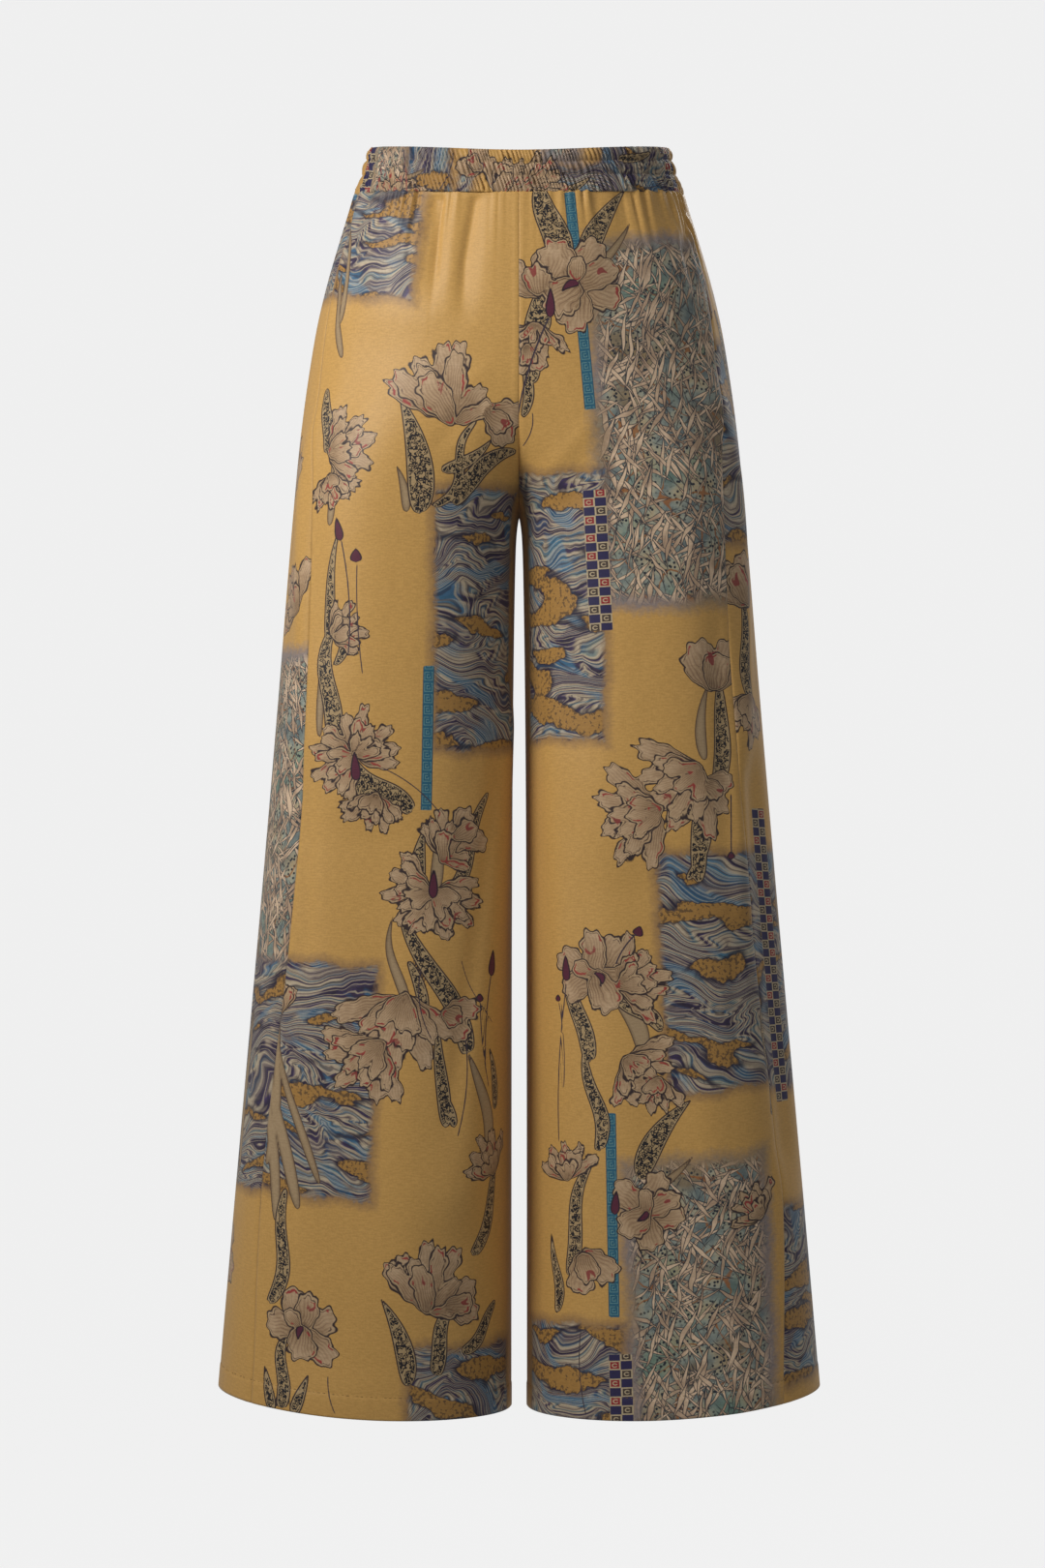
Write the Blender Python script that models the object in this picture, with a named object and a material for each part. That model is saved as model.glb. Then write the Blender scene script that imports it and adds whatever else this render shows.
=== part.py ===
"""Palazzo pants, worn open with nobody inside.

Four cloth panels (front and back of each leg) hang from a gathered waistband in two pieces.
Metres, +Z up. The front faces -Y, and +X is to the right of someone who looks at the front.
The origin is the middle of the waist opening, level with the band's top edge at the sides.
"""

import bmesh
import bpy
import numpy as np

# Driving dimensions. A drop is a distance below the waist edge.
WALL = 0.0015           # panel cloth
BAND_WALL = 0.003       # band cloth folded over its elastic
SEAM_GAP = 0.0003       # left between pieces that are sewn together
BAND_HEIGHT = 0.039
RISE = 0.298            # drop of the crotch
INSIDE_DROP = 1.012     # drop of the hem at the inseam
SIDE_LIFT = 0.017       # the hem is this much higher at the outer side
SIDE_LIFT_NARROWS = 3   # the higher, the closer to the outer side the hem stays level
LIFT_FROM = 0.55        # drop where the rows start to rise towards that side
FRONT_DIP = 0.014       # the waist edge is this much lower at the centre front
BACK_LIFT = 0.005       # and this much higher at the centre back
DIP_UNTIL = 0.11        # drop where the cloth rows are level again
CURVE_HEIGHT = 0.14     # height over which the centre seam turns under to the crotch
CURVE_FULLNESS = 0.85   # below 1, the centre seam turns under more roundly
GAP_AT_CROTCH = 0.0023  # half the space between the legs, just under the crotch
GAP_AT_HEM = 0.0064     # and at the hem
GAP_OPENS_IN = 0.010    # drop over which that space first opens
GAP_GROWS_IN = 0.15     # and over which it goes on widening
CHANNELS = 3            # elastic channels along the band
CHANNEL_BULGE = 0.0016  # how far a channel stands out between its stitch rows
CHANNEL_FULLNESS = 0.7  # below 1, a channel is flatter on top

# Sections of the body and of each leg, seen as ovals about the side line.
SECTION_COLUMNS = ("drop", "half_width", "front_depth", "back_depth", "squareness")
SECTIONS = (
    (0.000, 0.1210, 0.084, 0.088, 2.15),
    (0.039, 0.1325, 0.091, 0.096, 2.15),
    (0.076, 0.1442, 0.096, 0.106, 2.20),
    (0.108, 0.1537, 0.100, 0.114, 2.20),
    (0.139, 0.1613, 0.103, 0.120, 2.25),
    (0.185, 0.1693, 0.104, 0.124, 2.30),
    (0.232, 0.1755, 0.103, 0.123, 2.40),
    (0.298, 0.1817, 0.101, 0.116, 2.50),
    (0.430, 0.1925, 0.098, 0.106, 2.45),
    (0.700, 0.2155, 0.098, 0.101, 2.35),
    (1.012, 0.2417, 0.101, 0.102, 2.30),
)

# The side seams lie forward of the outline: how far out each is, as a share of the half width.
SIDE_SEAM_COLUMNS = ("drop", "left_share", "right_share")
SIDE_SEAMS = (
    (0.000, 0.985, 0.985),
    (0.040, 0.972, 0.976),
    (0.125, 0.946, 0.948),
    (0.300, 0.900, 0.893),
    (0.460, 0.856, 0.866),
    (0.630, 0.862, 0.888),
    (0.840, 0.896, 0.916),
    (1.012, 0.872, 0.862),
)

# The largest folds, as soft ridges (height above 0) and troughs (below 0). Each runs from its top
# to its foot; "out" is its place as a share of the half width, from the centre line.
FOLD_COLUMNS = ("side", "face", "top_out", "top_drop", "foot_out", "foot_drop", "width", "height")
FOLDS = (
    ("left", "front", 0.48, 0.030, 0.44, 0.105, 0.010, -0.0035),
    ("left", "front", 0.25, 0.030, 0.27, 0.115, 0.010, -0.0035),
    ("left", "front", 0.93, 0.240, 0.84, 0.480, 0.014, 0.0030),
    ("left", "front", 0.06, 0.470, 0.20, 0.830, 0.026, 0.0050),
    ("left", "front", 0.60, 0.560, 0.66, 0.960, 0.040, -0.0040),
    ("right", "front", 0.58, 0.030, 0.52, 0.120, 0.012, -0.0030),
    ("right", "front", 0.93, 0.220, 0.84, 0.600, 0.014, 0.0035),
    ("right", "front", 0.93, 0.520, 0.95, 0.800, 0.018, -0.0060),
    ("right", "front", 0.12, 0.450, 0.16, 0.640, 0.016, 0.0025),
    ("right", "front", 0.45, 0.600, 0.52, 0.980, 0.040, -0.0035),
    ("left", "back", 0.30, 0.030, 0.36, 0.190, 0.013, -0.0040),
    ("left", "back", 0.66, 0.030, 0.62, 0.150, 0.012, -0.0035),
    ("left", "back", 0.45, 0.330, 0.35, 0.780, 0.030, 0.0060),
    ("left", "back", 0.76, 0.420, 0.84, 0.980, 0.034, -0.0055),
    ("right", "back", 0.26, 0.030, 0.30, 0.170, 0.013, -0.0040),
    ("right", "back", 0.60, 0.030, 0.66, 0.200, 0.012, -0.0035),
    ("right", "back", 0.40, 0.360, 0.48, 0.900, 0.032, 0.0055),
    ("right", "back", 0.80, 0.380, 0.74, 0.860, 0.030, -0.0050),
)
FOLD_FADE = 0.05        # length over which a fold dies away past its ends
CENTRE_CALM = 0.10      # share of a panel next to its inner edge that folds don't reach

# Cells of each panel: rows over the hips, around the crotch curve and down the leg.
HIP_ROWS = 6
CURVE_ROWS = 8
LEG_ROWS = 14
FRONT_CELLS = 16
BACK_CELLS = 20
BAND_FRONT_CELLS = 18
BAND_BACK_CELLS = 20
BAND_ROWS = 6
CURVE_ROW_CROWDING = 1.6    # rows crowd towards the crotch on the inner edge
ROW_BEND = 2                # rows keep their outer drop until close to the inner edge
SLOPE_STEP = 0.002          # share of a piece over which its slope is taken

CLOTH = (0.62, 0.42, 0.17)
BAND_CLOTH = (0.45, 0.33, 0.19)

SIDE_SIGN = {"left": -1.0, "right": 1.0}
FACE_TURN = {"front": -1.0, "back": 1.0}     # turns a form's normals to point out of the cloth


def column(columns, rows, name):
    """One named column of a table, as numbers."""
    return np.array([row[columns.index(name)] for row in rows], dtype=float)


def smooth_between(columns, rows, name, drop):
    """A smooth curve through a table's column, read at the given drops."""
    drops = column(columns, rows, "drop")
    values = column(columns, rows, name)
    slopes = np.gradient(values, drops)
    place = np.clip(np.searchsorted(drops, drop, side="right") - 1, 0, len(drops) - 2)
    span = drops[place + 1] - drops[place]
    part = np.clip((drop - drops[place]) / span, 0.0, 1.0)
    start = values[place] * (1 + 2 * part) * (1 - part) ** 2
    end = values[place + 1] * part ** 2 * (3 - 2 * part)
    start_slope = slopes[place] * span * part * (1 - part) ** 2
    end_slope = slopes[place + 1] * span * part ** 2 * (part - 1)
    return start + end + start_slope + end_slope


def ease(value):
    """0 below 0, 1 above 1, and smooth between."""
    part = np.clip(value, 0.0, 1.0)
    return part * part * (3 - 2 * part)


def size_at(name, drop):
    """One size of the sections at the given drops."""
    return smooth_between(SECTION_COLUMNS, SECTIONS, name, drop)


def leg_oval(drop):
    """Middle and half width of one leg's oval. At the hips it is the body's own oval."""
    width = size_at("half_width", drop)
    above = np.clip((RISE - drop) / CURVE_HEIGHT, 0.0, 1.0)
    parted = (1 + np.cos(np.pi * above ** CURVE_FULLNESS)) / 2
    below = np.maximum(drop - RISE, 0.0)
    gap = SEAM_GAP / 2 + GAP_AT_CROTCH * (1 - np.exp(-below / GAP_OPENS_IN))
    gap = gap + (GAP_AT_HEM - GAP_AT_CROTCH) * (1 - np.exp(-below / GAP_GROWS_IN))
    in_leg = drop >= RISE
    reach = np.where(in_leg, (width - gap) / 2, width / (1 + parted))
    middle = np.where(in_leg, gap + reach, parted * reach)
    return middle, reach


def angle_at(across, drop, face):
    """Angle about a leg's middle at a distance from the centre line; the back's are below 0."""
    middle, reach = leg_oval(drop)
    square = size_at("squareness", drop)
    depth = size_at("front_depth" if face == "front" else "back_depth", drop)
    share = np.clip((across - middle) / reach, -1.0, 1.0)
    height = depth * np.maximum(1 - np.abs(share) ** square, 0.0) ** (1 / square)
    angle = np.arctan2(np.maximum(height, SEAM_GAP / 2), share * reach)
    return angle if face == "front" else -angle


def seam_angle(side, drop):
    """Angle of the side seam, which lies on the front half."""
    share = smooth_between(SIDE_SEAM_COLUMNS, SIDE_SEAMS, side + "_share", drop)
    return angle_at(share * size_at("half_width", drop), drop, "front")


def inner_angle(drop, face):
    """Angle of a panel's inner edge: the centre seam, and below the crotch the inseam."""
    above = angle_at(np.full_like(drop, SEAM_GAP / 2), drop, face)
    below = angle_at(leg_oval(drop)[0] - leg_oval(drop)[1], drop, face)
    return np.where(drop < RISE, above, below)


def fold_height(side, angle, drop):
    """How far the folds lift the cloth off its oval."""
    total = np.zeros_like(drop)
    radius = size_at("front_depth", drop)
    for fold in FOLDS:
        row = dict(zip(FOLD_COLUMNS, fold))
        if row["side"] != side:
            continue
        ends = []
        for end in ("top", "foot"):
            at_drop = np.array([row[end + "_drop"]])
            across = row[end + "_out"] * size_at("half_width", at_drop)
            ends.append(angle_at(across, at_drop, row["face"])[0])
        part = (drop - row["top_drop"]) / (row["foot_drop"] - row["top_drop"])
        line = ends[0] + (ends[1] - ends[0]) * np.clip(part, 0.0, 1.0)
        away = (angle - line) * radius / row["width"]
        begins = ease((drop - row["top_drop"]) / FOLD_FADE + 1)
        dies = ease((row["foot_drop"] - drop) / FOLD_FADE + 1)
        total = total + row["height"] * np.exp(-away ** 2) * begins * dies
    return total


def oval_point(side, angle, drop):
    """A point of the garment's form at an angle about the leg's middle."""
    middle, reach = leg_oval(drop)
    square = size_at("squareness", drop)
    depth = np.where(angle > 0, size_at("front_depth", drop), size_at("back_depth", drop))
    flat = np.abs(np.cos(angle) / reach) ** square + np.abs(np.sin(angle) / depth) ** square
    radius = flat ** (-1 / square)
    across = middle + radius * np.cos(angle)
    deep = -radius * np.sin(angle)
    facing = np.sin(angle)
    behind = BACK_LIFT * (1 - np.exp(np.minimum(facing, 0.0) * FRONT_DIP / BACK_LIFT))
    tilt = (behind - FRONT_DIP * np.maximum(facing, 0.0)) * (1 - ease(drop / DIP_UNTIL))
    outer = ((1 + np.cos(angle)) / 2) ** SIDE_LIFT_NARROWS
    lift = SIDE_LIFT * outer * ease((drop - LIFT_FROM) / (INSIDE_DROP - LIFT_FROM))
    return np.stack([SIDE_SIGN[side] * across, deep, tilt + lift - drop], axis=-1)


def row_drops(share):
    """Drops of a row's outer and inner ends, from 0 at the band to 1 at the hem."""
    rows = HIP_ROWS + CURVE_ROWS + LEG_ROWS
    row = share * rows
    top = BAND_HEIGHT + SEAM_GAP
    curve_top = RISE - CURVE_HEIGHT
    hip = top + (curve_top - top) * np.clip(row / HIP_ROWS, 0, 1)
    around = np.clip((row - HIP_ROWS) / CURVE_ROWS, 0, 1)
    down = np.clip((row - HIP_ROWS - CURVE_ROWS) / LEG_ROWS, 0, 1)
    leg = (INSIDE_DROP - RISE) * down
    outer = hip + CURVE_HEIGHT * around + leg
    inner = hip + CURVE_HEIGHT * (1 - (1 - around) ** CURVE_ROW_CROWDING) + leg
    return outer, inner


def panel_form(side, face, across, down):
    """The outer face of a panel; across runs from side seam to inner edge, down from band to hem."""
    outer_drop, inner_drop = row_drops(down)
    drop = outer_drop + (inner_drop - outer_drop) * across ** ROW_BEND
    half_gap = SEAM_GAP / 2 / size_at("front_depth", drop)
    start = seam_angle(side, drop) + (half_gap if face == "front" else -half_gap)
    angle = start + (inner_angle(drop, face) - start) * across
    point = oval_point(side, angle, drop)
    calm = ease((1 - across) / CENTRE_CALM)
    return point, fold_height(side, angle, drop) * calm


def band_form(face, across, down):
    """The outer face of a band piece; across runs from the left side seam to the right one."""
    drop = BAND_HEIGHT * down
    half_gap = SEAM_GAP / 2 / size_at("front_depth", drop)
    if face == "front":
        left_end = np.pi - seam_angle("left", drop) - half_gap
        right_end = seam_angle("right", drop) + half_gap
    else:
        left_end = -np.pi - seam_angle("left", drop) + half_gap
        right_end = seam_angle("right", drop) - half_gap
    angle = left_end + (right_end - left_end) * across
    angle = np.where(angle < -np.pi, angle + 2 * np.pi, angle)
    point = oval_point("right", angle, drop)
    bulge = CHANNEL_BULGE * np.abs(np.sin(np.pi * CHANNELS * down)) ** CHANNEL_FULLNESS
    return point, bulge


def outward(form, across, down):
    """Unit normals of a form, from its slopes at the given places."""
    left = np.clip(across - SLOPE_STEP, 0, 1)
    right = np.clip(across + SLOPE_STEP, 0, 1)
    upper = np.clip(down - SLOPE_STEP, 0, 1)
    lower = np.clip(down + SLOPE_STEP, 0, 1)
    along = form(right, down)[0] - form(left, down)[0]
    fall = form(across, lower)[0] - form(across, upper)[0]
    normal = np.cross(fall, along)
    normal = normal / np.linalg.norm(normal, axis=-1, keepdims=True)
    point = form(across, down)[0]
    return normal, point


def cloth_points(form, across, down, depth, turn):
    """Points at a depth under a form's outer face, with its folds."""
    normal, point = outward(form, across, down)
    lift = form(across, down)[1]
    return point + turn * normal * (lift - depth)[:, None]


def add_cloth(name, form, cells, rows, wall, turn, colour):
    """One cloth piece: a grid laid on its form, and a copy of it extruded inwards by the wall."""
    mesh = bpy.data.meshes.new(name)
    work = bmesh.new()
    bmesh.ops.create_grid(work, x_segments=cells, y_segments=rows, size=0.5)
    outer = list(work.verts)
    raised = bmesh.ops.extrude_face_region(work, geom=list(work.faces))["geom"]
    inner = [item for item in raised if isinstance(item, bmesh.types.BMVert)]
    for layer, depth in ((outer, 0.0), (inner, wall)):
        across = np.array([vert.co.x + 0.5 for vert in layer])
        down = np.array([0.5 - vert.co.y for vert in layer])
        places = cloth_points(form, across, down, np.full_like(across, depth), turn)
        for vert, place in zip(layer, places):
            vert.co = place
    bmesh.ops.recalc_face_normals(work, faces=list(work.faces))
    if work.calc_volume(signed=True) < 0:
        bmesh.ops.reverse_faces(work, faces=list(work.faces))
    work.to_mesh(mesh)
    work.free()
    mesh.shade_smooth()
    mesh.set_sharp_from_angle(angle=np.radians(40))
    mesh.materials.append(colour)
    piece = bpy.data.objects.new(name, mesh)
    bpy.context.scene.collection.objects.link(piece)
    return piece


def cloth_material(name, colour, roughness):
    """A plain cloth finish."""
    material = bpy.data.materials.new(name)
    material.use_nodes = True
    shader = material.node_tree.nodes["Principled BSDF"]
    shader.inputs["Base Color"].default_value = (*colour, 1.0)
    shader.inputs["Roughness"].default_value = roughness
    shader.inputs["Metallic"].default_value = 0.0
    return material


def add_panel(side, face):
    """A front or back panel, from band to hem."""
    material = cloth_material(face + "_" + side + "_satin", CLOTH, 0.42)
    turn = SIDE_SIGN[side] * FACE_TURN[face]
    cells = FRONT_CELLS if face == "front" else BACK_CELLS

    def form(across, down):
        return panel_form(side, face, across, down)

    rows = HIP_ROWS + CURVE_ROWS + LEG_ROWS
    return add_cloth(face + "_" + side, form, cells, rows, WALL, turn, material)


def add_band(face):
    """Half of the waistband, from side seam to side seam."""
    material = cloth_material("band_" + face + "_satin", BAND_CLOTH, 0.5)
    cells = BAND_FRONT_CELLS if face == "front" else BAND_BACK_CELLS

    def form(across, down):
        return band_form(face, across, down)

    turn = -FACE_TURN[face]
    return add_cloth("waistband_" + face, form, cells, BAND_ROWS, BAND_WALL, turn, material)


def build():
    """Clears the scene and makes the six pieces."""
    for old in list(bpy.data.objects):
        bpy.data.objects.remove(old, do_unlink=True)
    for side in ("left", "right"):
        for face in ("front", "back"):
            add_panel(side, face)
    for face in ("front", "back"):
        add_band(face)


build()
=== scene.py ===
"""Palazzo pants in printed satin, worn open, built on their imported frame.

Metres, +Z up. The front faces -Y. A drop is a distance below the waist edge.
Each panel's print is laid in its own cloth coordinates and kept as attributes of its mesh.
"""

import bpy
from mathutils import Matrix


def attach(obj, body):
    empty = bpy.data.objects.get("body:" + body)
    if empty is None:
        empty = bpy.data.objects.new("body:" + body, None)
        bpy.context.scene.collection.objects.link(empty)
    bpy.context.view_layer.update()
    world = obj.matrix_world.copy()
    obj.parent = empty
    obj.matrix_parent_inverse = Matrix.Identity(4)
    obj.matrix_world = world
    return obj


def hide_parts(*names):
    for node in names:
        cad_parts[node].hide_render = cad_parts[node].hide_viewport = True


bl_info = {
    "name": "Palazzo Pants",
    "version": (1, 0, 0),
    "blender": (4, 5, 0),
    "location": "3D View > Sidebar > Palazzo Pants",
    "description": "Makes wide pull-on pants in printed satin with a gathered waistband",
    "category": "Add Mesh",
}

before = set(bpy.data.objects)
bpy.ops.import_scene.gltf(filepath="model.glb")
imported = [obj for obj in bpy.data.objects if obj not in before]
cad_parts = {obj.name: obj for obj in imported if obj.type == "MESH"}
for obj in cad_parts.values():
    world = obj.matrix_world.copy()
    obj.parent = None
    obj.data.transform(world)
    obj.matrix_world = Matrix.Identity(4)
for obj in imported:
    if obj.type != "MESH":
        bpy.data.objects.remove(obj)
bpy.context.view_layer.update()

import math
import random

import bmesh
import bpy
import numpy as np
from mathutils import Matrix, Vector

BODY = "root"
MM = 0.001
DEGREE = math.pi / 180

# ---------------------------------------------------------------------------------------------
# The garment's form, as in the frame's own solids
# ---------------------------------------------------------------------------------------------

BAND_HEIGHT = 0.039
RISE = 0.298            # drop of the crotch
INSIDE_DROP = 1.012     # drop of the hem at the inseam
SIDE_LIFT = 0.017       # the hem is this much higher at the outer side
SIDE_LIFT_NARROWS = 3   # the higher, the closer to the outer side the hem stays level
LIFT_FROM = 0.55
FRONT_DIP = 0.014       # the waist edge is this much lower at the centre front
BACK_LIFT = 0.005
DIP_UNTIL = 0.11
CURVE_HEIGHT = 0.14     # height over which the centre seam turns under to the crotch
CURVE_FULLNESS = 0.85
GAP_AT_CROTCH = 0.0023  # half the space between the legs, just under the crotch
GAP_AT_HEM = 0.0064
GAP_OPENS_IN = 0.010
GAP_GROWS_IN = 0.15
SEAM_GAP = 0.0003
EDGE_LAP = 0.00010      # sewn edges lap this much, so that no light comes through
LEAST_HEIGHT = 0.00001

SECTION_COLUMNS = ("drop", "half_width", "front_depth", "back_depth", "squareness")
SECTIONS = (
    (0.000, 0.1210, 0.084, 0.088, 2.15),
    (0.039, 0.1325, 0.091, 0.096, 2.15),
    (0.076, 0.1442, 0.096, 0.106, 2.20),
    (0.108, 0.1537, 0.100, 0.114, 2.20),
    (0.139, 0.1613, 0.103, 0.120, 2.25),
    (0.185, 0.1693, 0.104, 0.124, 2.30),
    (0.232, 0.1755, 0.103, 0.123, 2.40),
    (0.298, 0.1817, 0.101, 0.116, 2.50),
    (0.430, 0.1925, 0.098, 0.106, 2.45),
    (0.700, 0.2155, 0.098, 0.101, 2.35),
    (1.012, 0.2417, 0.101, 0.102, 2.30),
)

SIDE_SEAM_COLUMNS = ("drop", "left_share", "right_share")
SIDE_SEAMS = (
    (0.000, 0.985, 0.985),
    (0.040, 0.972, 0.976),
    (0.125, 0.946, 0.948),
    (0.300, 0.900, 0.893),
    (0.460, 0.856, 0.866),
    (0.630, 0.862, 0.888),
    (0.840, 0.896, 0.916),
    (1.012, 0.872, 0.862),
)

FOLD_COLUMNS = ("side", "face", "top_out", "top_drop", "foot_out", "foot_drop", "width", "height")
LARGE_FOLDS = (
    ("left", "front", 0.48, 0.030, 0.44, 0.105, 0.010, -0.0035),
    ("left", "front", 0.25, 0.030, 0.27, 0.115, 0.010, -0.0035),
    ("left", "front", 0.93, 0.240, 0.84, 0.480, 0.014, 0.0030),
    ("left", "front", 0.06, 0.470, 0.20, 0.830, 0.026, 0.0050),
    ("left", "front", 0.60, 0.560, 0.66, 0.960, 0.040, -0.0040),
    ("right", "front", 0.58, 0.030, 0.52, 0.120, 0.012, -0.0030),
    ("right", "front", 0.93, 0.220, 0.84, 0.600, 0.014, 0.0035),
    ("right", "front", 0.93, 0.520, 0.95, 0.800, 0.018, -0.0060),
    ("right", "front", 0.12, 0.450, 0.16, 0.640, 0.016, 0.0025),
    ("right", "front", 0.45, 0.600, 0.52, 0.980, 0.040, -0.0035),
    ("left", "back", 0.30, 0.030, 0.36, 0.190, 0.013, -0.0040),
    ("left", "back", 0.66, 0.030, 0.62, 0.150, 0.012, -0.0035),
    ("left", "back", 0.45, 0.330, 0.35, 0.780, 0.030, 0.0060),
    ("left", "back", 0.76, 0.420, 0.84, 0.980, 0.034, -0.0055),
    ("right", "back", 0.26, 0.030, 0.30, 0.170, 0.013, -0.0040),
    ("right", "back", 0.60, 0.030, 0.66, 0.200, 0.012, -0.0035),
    ("right", "back", 0.40, 0.360, 0.48, 0.900, 0.032, 0.0055),
    ("right", "back", 0.80, 0.380, 0.74, 0.860, 0.030, -0.0050),
)
# Creases too fine for the solids: tucks under the band, drags from the crotch, soft leg folds.
SMALL_FOLDS = (
    ("left", "front", 0.485, 0.036, 0.440, 0.092, 0.0035, -0.0016),
    ("left", "front", 0.255, 0.036, 0.285, 0.104, 0.0035, -0.0016),
    ("left", "front", 0.975, 0.040, 0.900, 0.118, 0.0040, -0.0018),
    ("left", "front", 0.955, 0.040, 0.865, 0.122, 0.0035, 0.0016),
    ("left", "front", 0.30, 0.215, 0.05, 0.285, 0.011, 0.0009),
    ("left", "front", 0.36, 0.250, 0.10, 0.315, 0.009, -0.0007),
    ("left", "front", 0.70, 0.160, 0.80, 0.380, 0.016, -0.0012),
    ("left", "front", 0.10, 0.500, 0.24, 0.760, 0.009, -0.0020),
    ("left", "front", 0.88, 0.340, 0.80, 0.640, 0.008, -0.0014),
    ("left", "front", 0.34, 0.640, 0.40, 0.900, 0.020, 0.0012),
    ("right", "front", 0.985, 0.050, 0.885, 0.088, 0.0035, -0.0022),
    ("right", "front", 0.930, 0.040, 0.860, 0.082, 0.0035, 0.0014),
    ("right", "front", 0.34, 0.225, 0.05, 0.290, 0.011, 0.0009),
    ("right", "front", 0.28, 0.255, 0.12, 0.330, 0.009, -0.0008),
    ("right", "front", 0.74, 0.180, 0.82, 0.400, 0.018, -0.0012),
    ("right", "front", 0.82, 0.420, 0.80, 0.700, 0.009, -0.0015),
    ("right", "front", 0.30, 0.520, 0.38, 0.860, 0.022, 0.0014),
    ("right", "front", 0.66, 0.760, 0.72, 1.000, 0.016, 0.0016),
    ("left", "back", 0.15, 0.235, 0.45, 0.330, 0.012, 0.0016),
    ("left", "back", 0.12, 0.285, 0.40, 0.420, 0.010, -0.0014),
    ("left", "back", 0.60, 0.300, 0.55, 0.640, 0.014, -0.0018),
    ("left", "back", 0.20, 0.560, 0.30, 0.930, 0.018, 0.0018),
    ("right", "back", 0.15, 0.240, 0.42, 0.345, 0.012, 0.0016),
    ("right", "back", 0.10, 0.290, 0.36, 0.440, 0.010, -0.0014),
    ("right", "back", 0.64, 0.280, 0.58, 0.560, 0.014, -0.0018),
    ("right", "back", 0.22, 0.600, 0.26, 0.960, 0.018, 0.0018),
)
FOLD_FADE = 0.05
CENTRE_CALM = 0.10

# How deep the gathers under the band are, by angle about the body: 0 at the outer side, 90 at
# the centre front and -90 at the centre back.
GATHER_COLUMNS = ("angle", "left_depth", "right_depth")
GATHERS = (
    (-90, 0.0011, 0.0011),
    (-60, 0.0014, 0.0013),
    (-30, 0.0012, 0.0014),
    (0, 0.0012, 0.0013),
    (25, 0.0012, 0.0012),
    (45, 0.0009, 0.0011),
    (60, 0.0004, 0.0011),
    (72, 0.0002, 0.0003),
    (90, 0.0001, 0.0001),
)
GATHER_PITCH = 0.0085
GATHER_LENGTH = 0.034
GATHER_FADE = 1.3       # how suddenly a gather dies away
FINER_GATHERS = 0.35    # depth of the finer gathers between, beside the main ones
FINER_LENGTH = 0.4
GATHER_STARTS = {"left": 1.7, "right": 4.1}
# Each wave of a swaying line has a height, a rate and how many shifts it starts at.
GATHER_DRIFT = ((0.55, 71, 1), (0.35, 173, 2))
GATHER_UNEVEN = ((0.45, 197, 1), (0.25, 331, -1))
GATHER_REACH = ((0.5, 113, 3),)
HEM_PUCKER = ((0.5, 231, 0), (0.3, 97, 1))

HEM_TURN = 0.018        # cloth turned up inside the hem
HEM_GROOVE = 0.0004     # how deep the hem's stitches pull in
HEM_GROOVE_WIDTH = 0.0011
HEM_SWELL = 0.00035     # the turned hem stands out this much
HEM_SWELL_OVER = 0.002
SHEET = 0.0005          # cloth thickness, which parts a turned edge from its face
EDGE_TURN = 0.0016      # how far a sewn edge turns in
SEAM_SWELL = 0.0003     # the seam's allowance shows through as a low ridge
SEAM_ALLOWANCE = 0.009
SEAM_STEEPNESS = 1.6    # how steeply that ridge rises and falls
SEAM_HOLDS = 0.0018     # the band's seam holds the gathers within this of the form
SEAM_HOLDS_OVER = 0.005
BAND_TUCK = np.array([0.985, 0.978, 1.0])   # a panel's top edge goes in and up under the band
BAND_TUCK_LIFT = np.array([0.0, 0.0, 0.003])

BAND_CHANNELS = (0.0, 0.0105, 0.0225, 0.039)    # drops of the edge, two stitch rows and the seam
BAND_BULGE = 0.0015
BAND_SETTLE = 0.0020    # the elastic draws the band in by this much, and less near its seam
SETTLE_ENDS = 0.010
BAND_WALL = 0.003
RUCHE_PITCH = 0.0036
RUCHE_DEPTH = 0.00075

CURVE_ROW_CROWDING = 1.6
ROW_BEND = 2
SLOPE_STEP = 0.002
SIDE_SIGN = {"left": -1.0, "right": 1.0}
FACE_TURN = {"front": -1.0, "back": 1.0}


def column(columns, rows, name):
    """One named column of a table, as numbers."""
    return np.array([row[columns.index(name)] for row in rows], dtype=float)


def smooth_curve(places, values, at):
    """A smooth curve through values at the given places."""
    slopes = np.gradient(values, places)
    start = np.clip(np.searchsorted(places, at, side="right") - 1, 0, len(places) - 2)
    span = places[start + 1] - places[start]
    part = np.clip((at - places[start]) / span, 0.0, 1.0)
    rise = values[start] * (1 + 2 * part) * (1 - part) ** 2
    rise = rise + values[start + 1] * part ** 2 * (3 - 2 * part)
    lean = slopes[start] * span * part * (1 - part) ** 2
    return rise + lean + slopes[start + 1] * span * part ** 2 * (part - 1)


def ease(value):
    """0 below 0, 1 above 1, and smooth between."""
    part = np.clip(value, 0.0, 1.0)
    return part * part * (3 - 2 * part)


def sway(at, shift, waves):
    """The height of a line that sways unevenly."""
    return sum(height * np.sin(at * rate + times * shift) for height, rate, times in waves)


def size_at(name, drop):
    """One size of the sections at the given drops."""
    drops = column(SECTION_COLUMNS, SECTIONS, "drop")
    return smooth_curve(drops, column(SECTION_COLUMNS, SECTIONS, name), drop)


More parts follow.
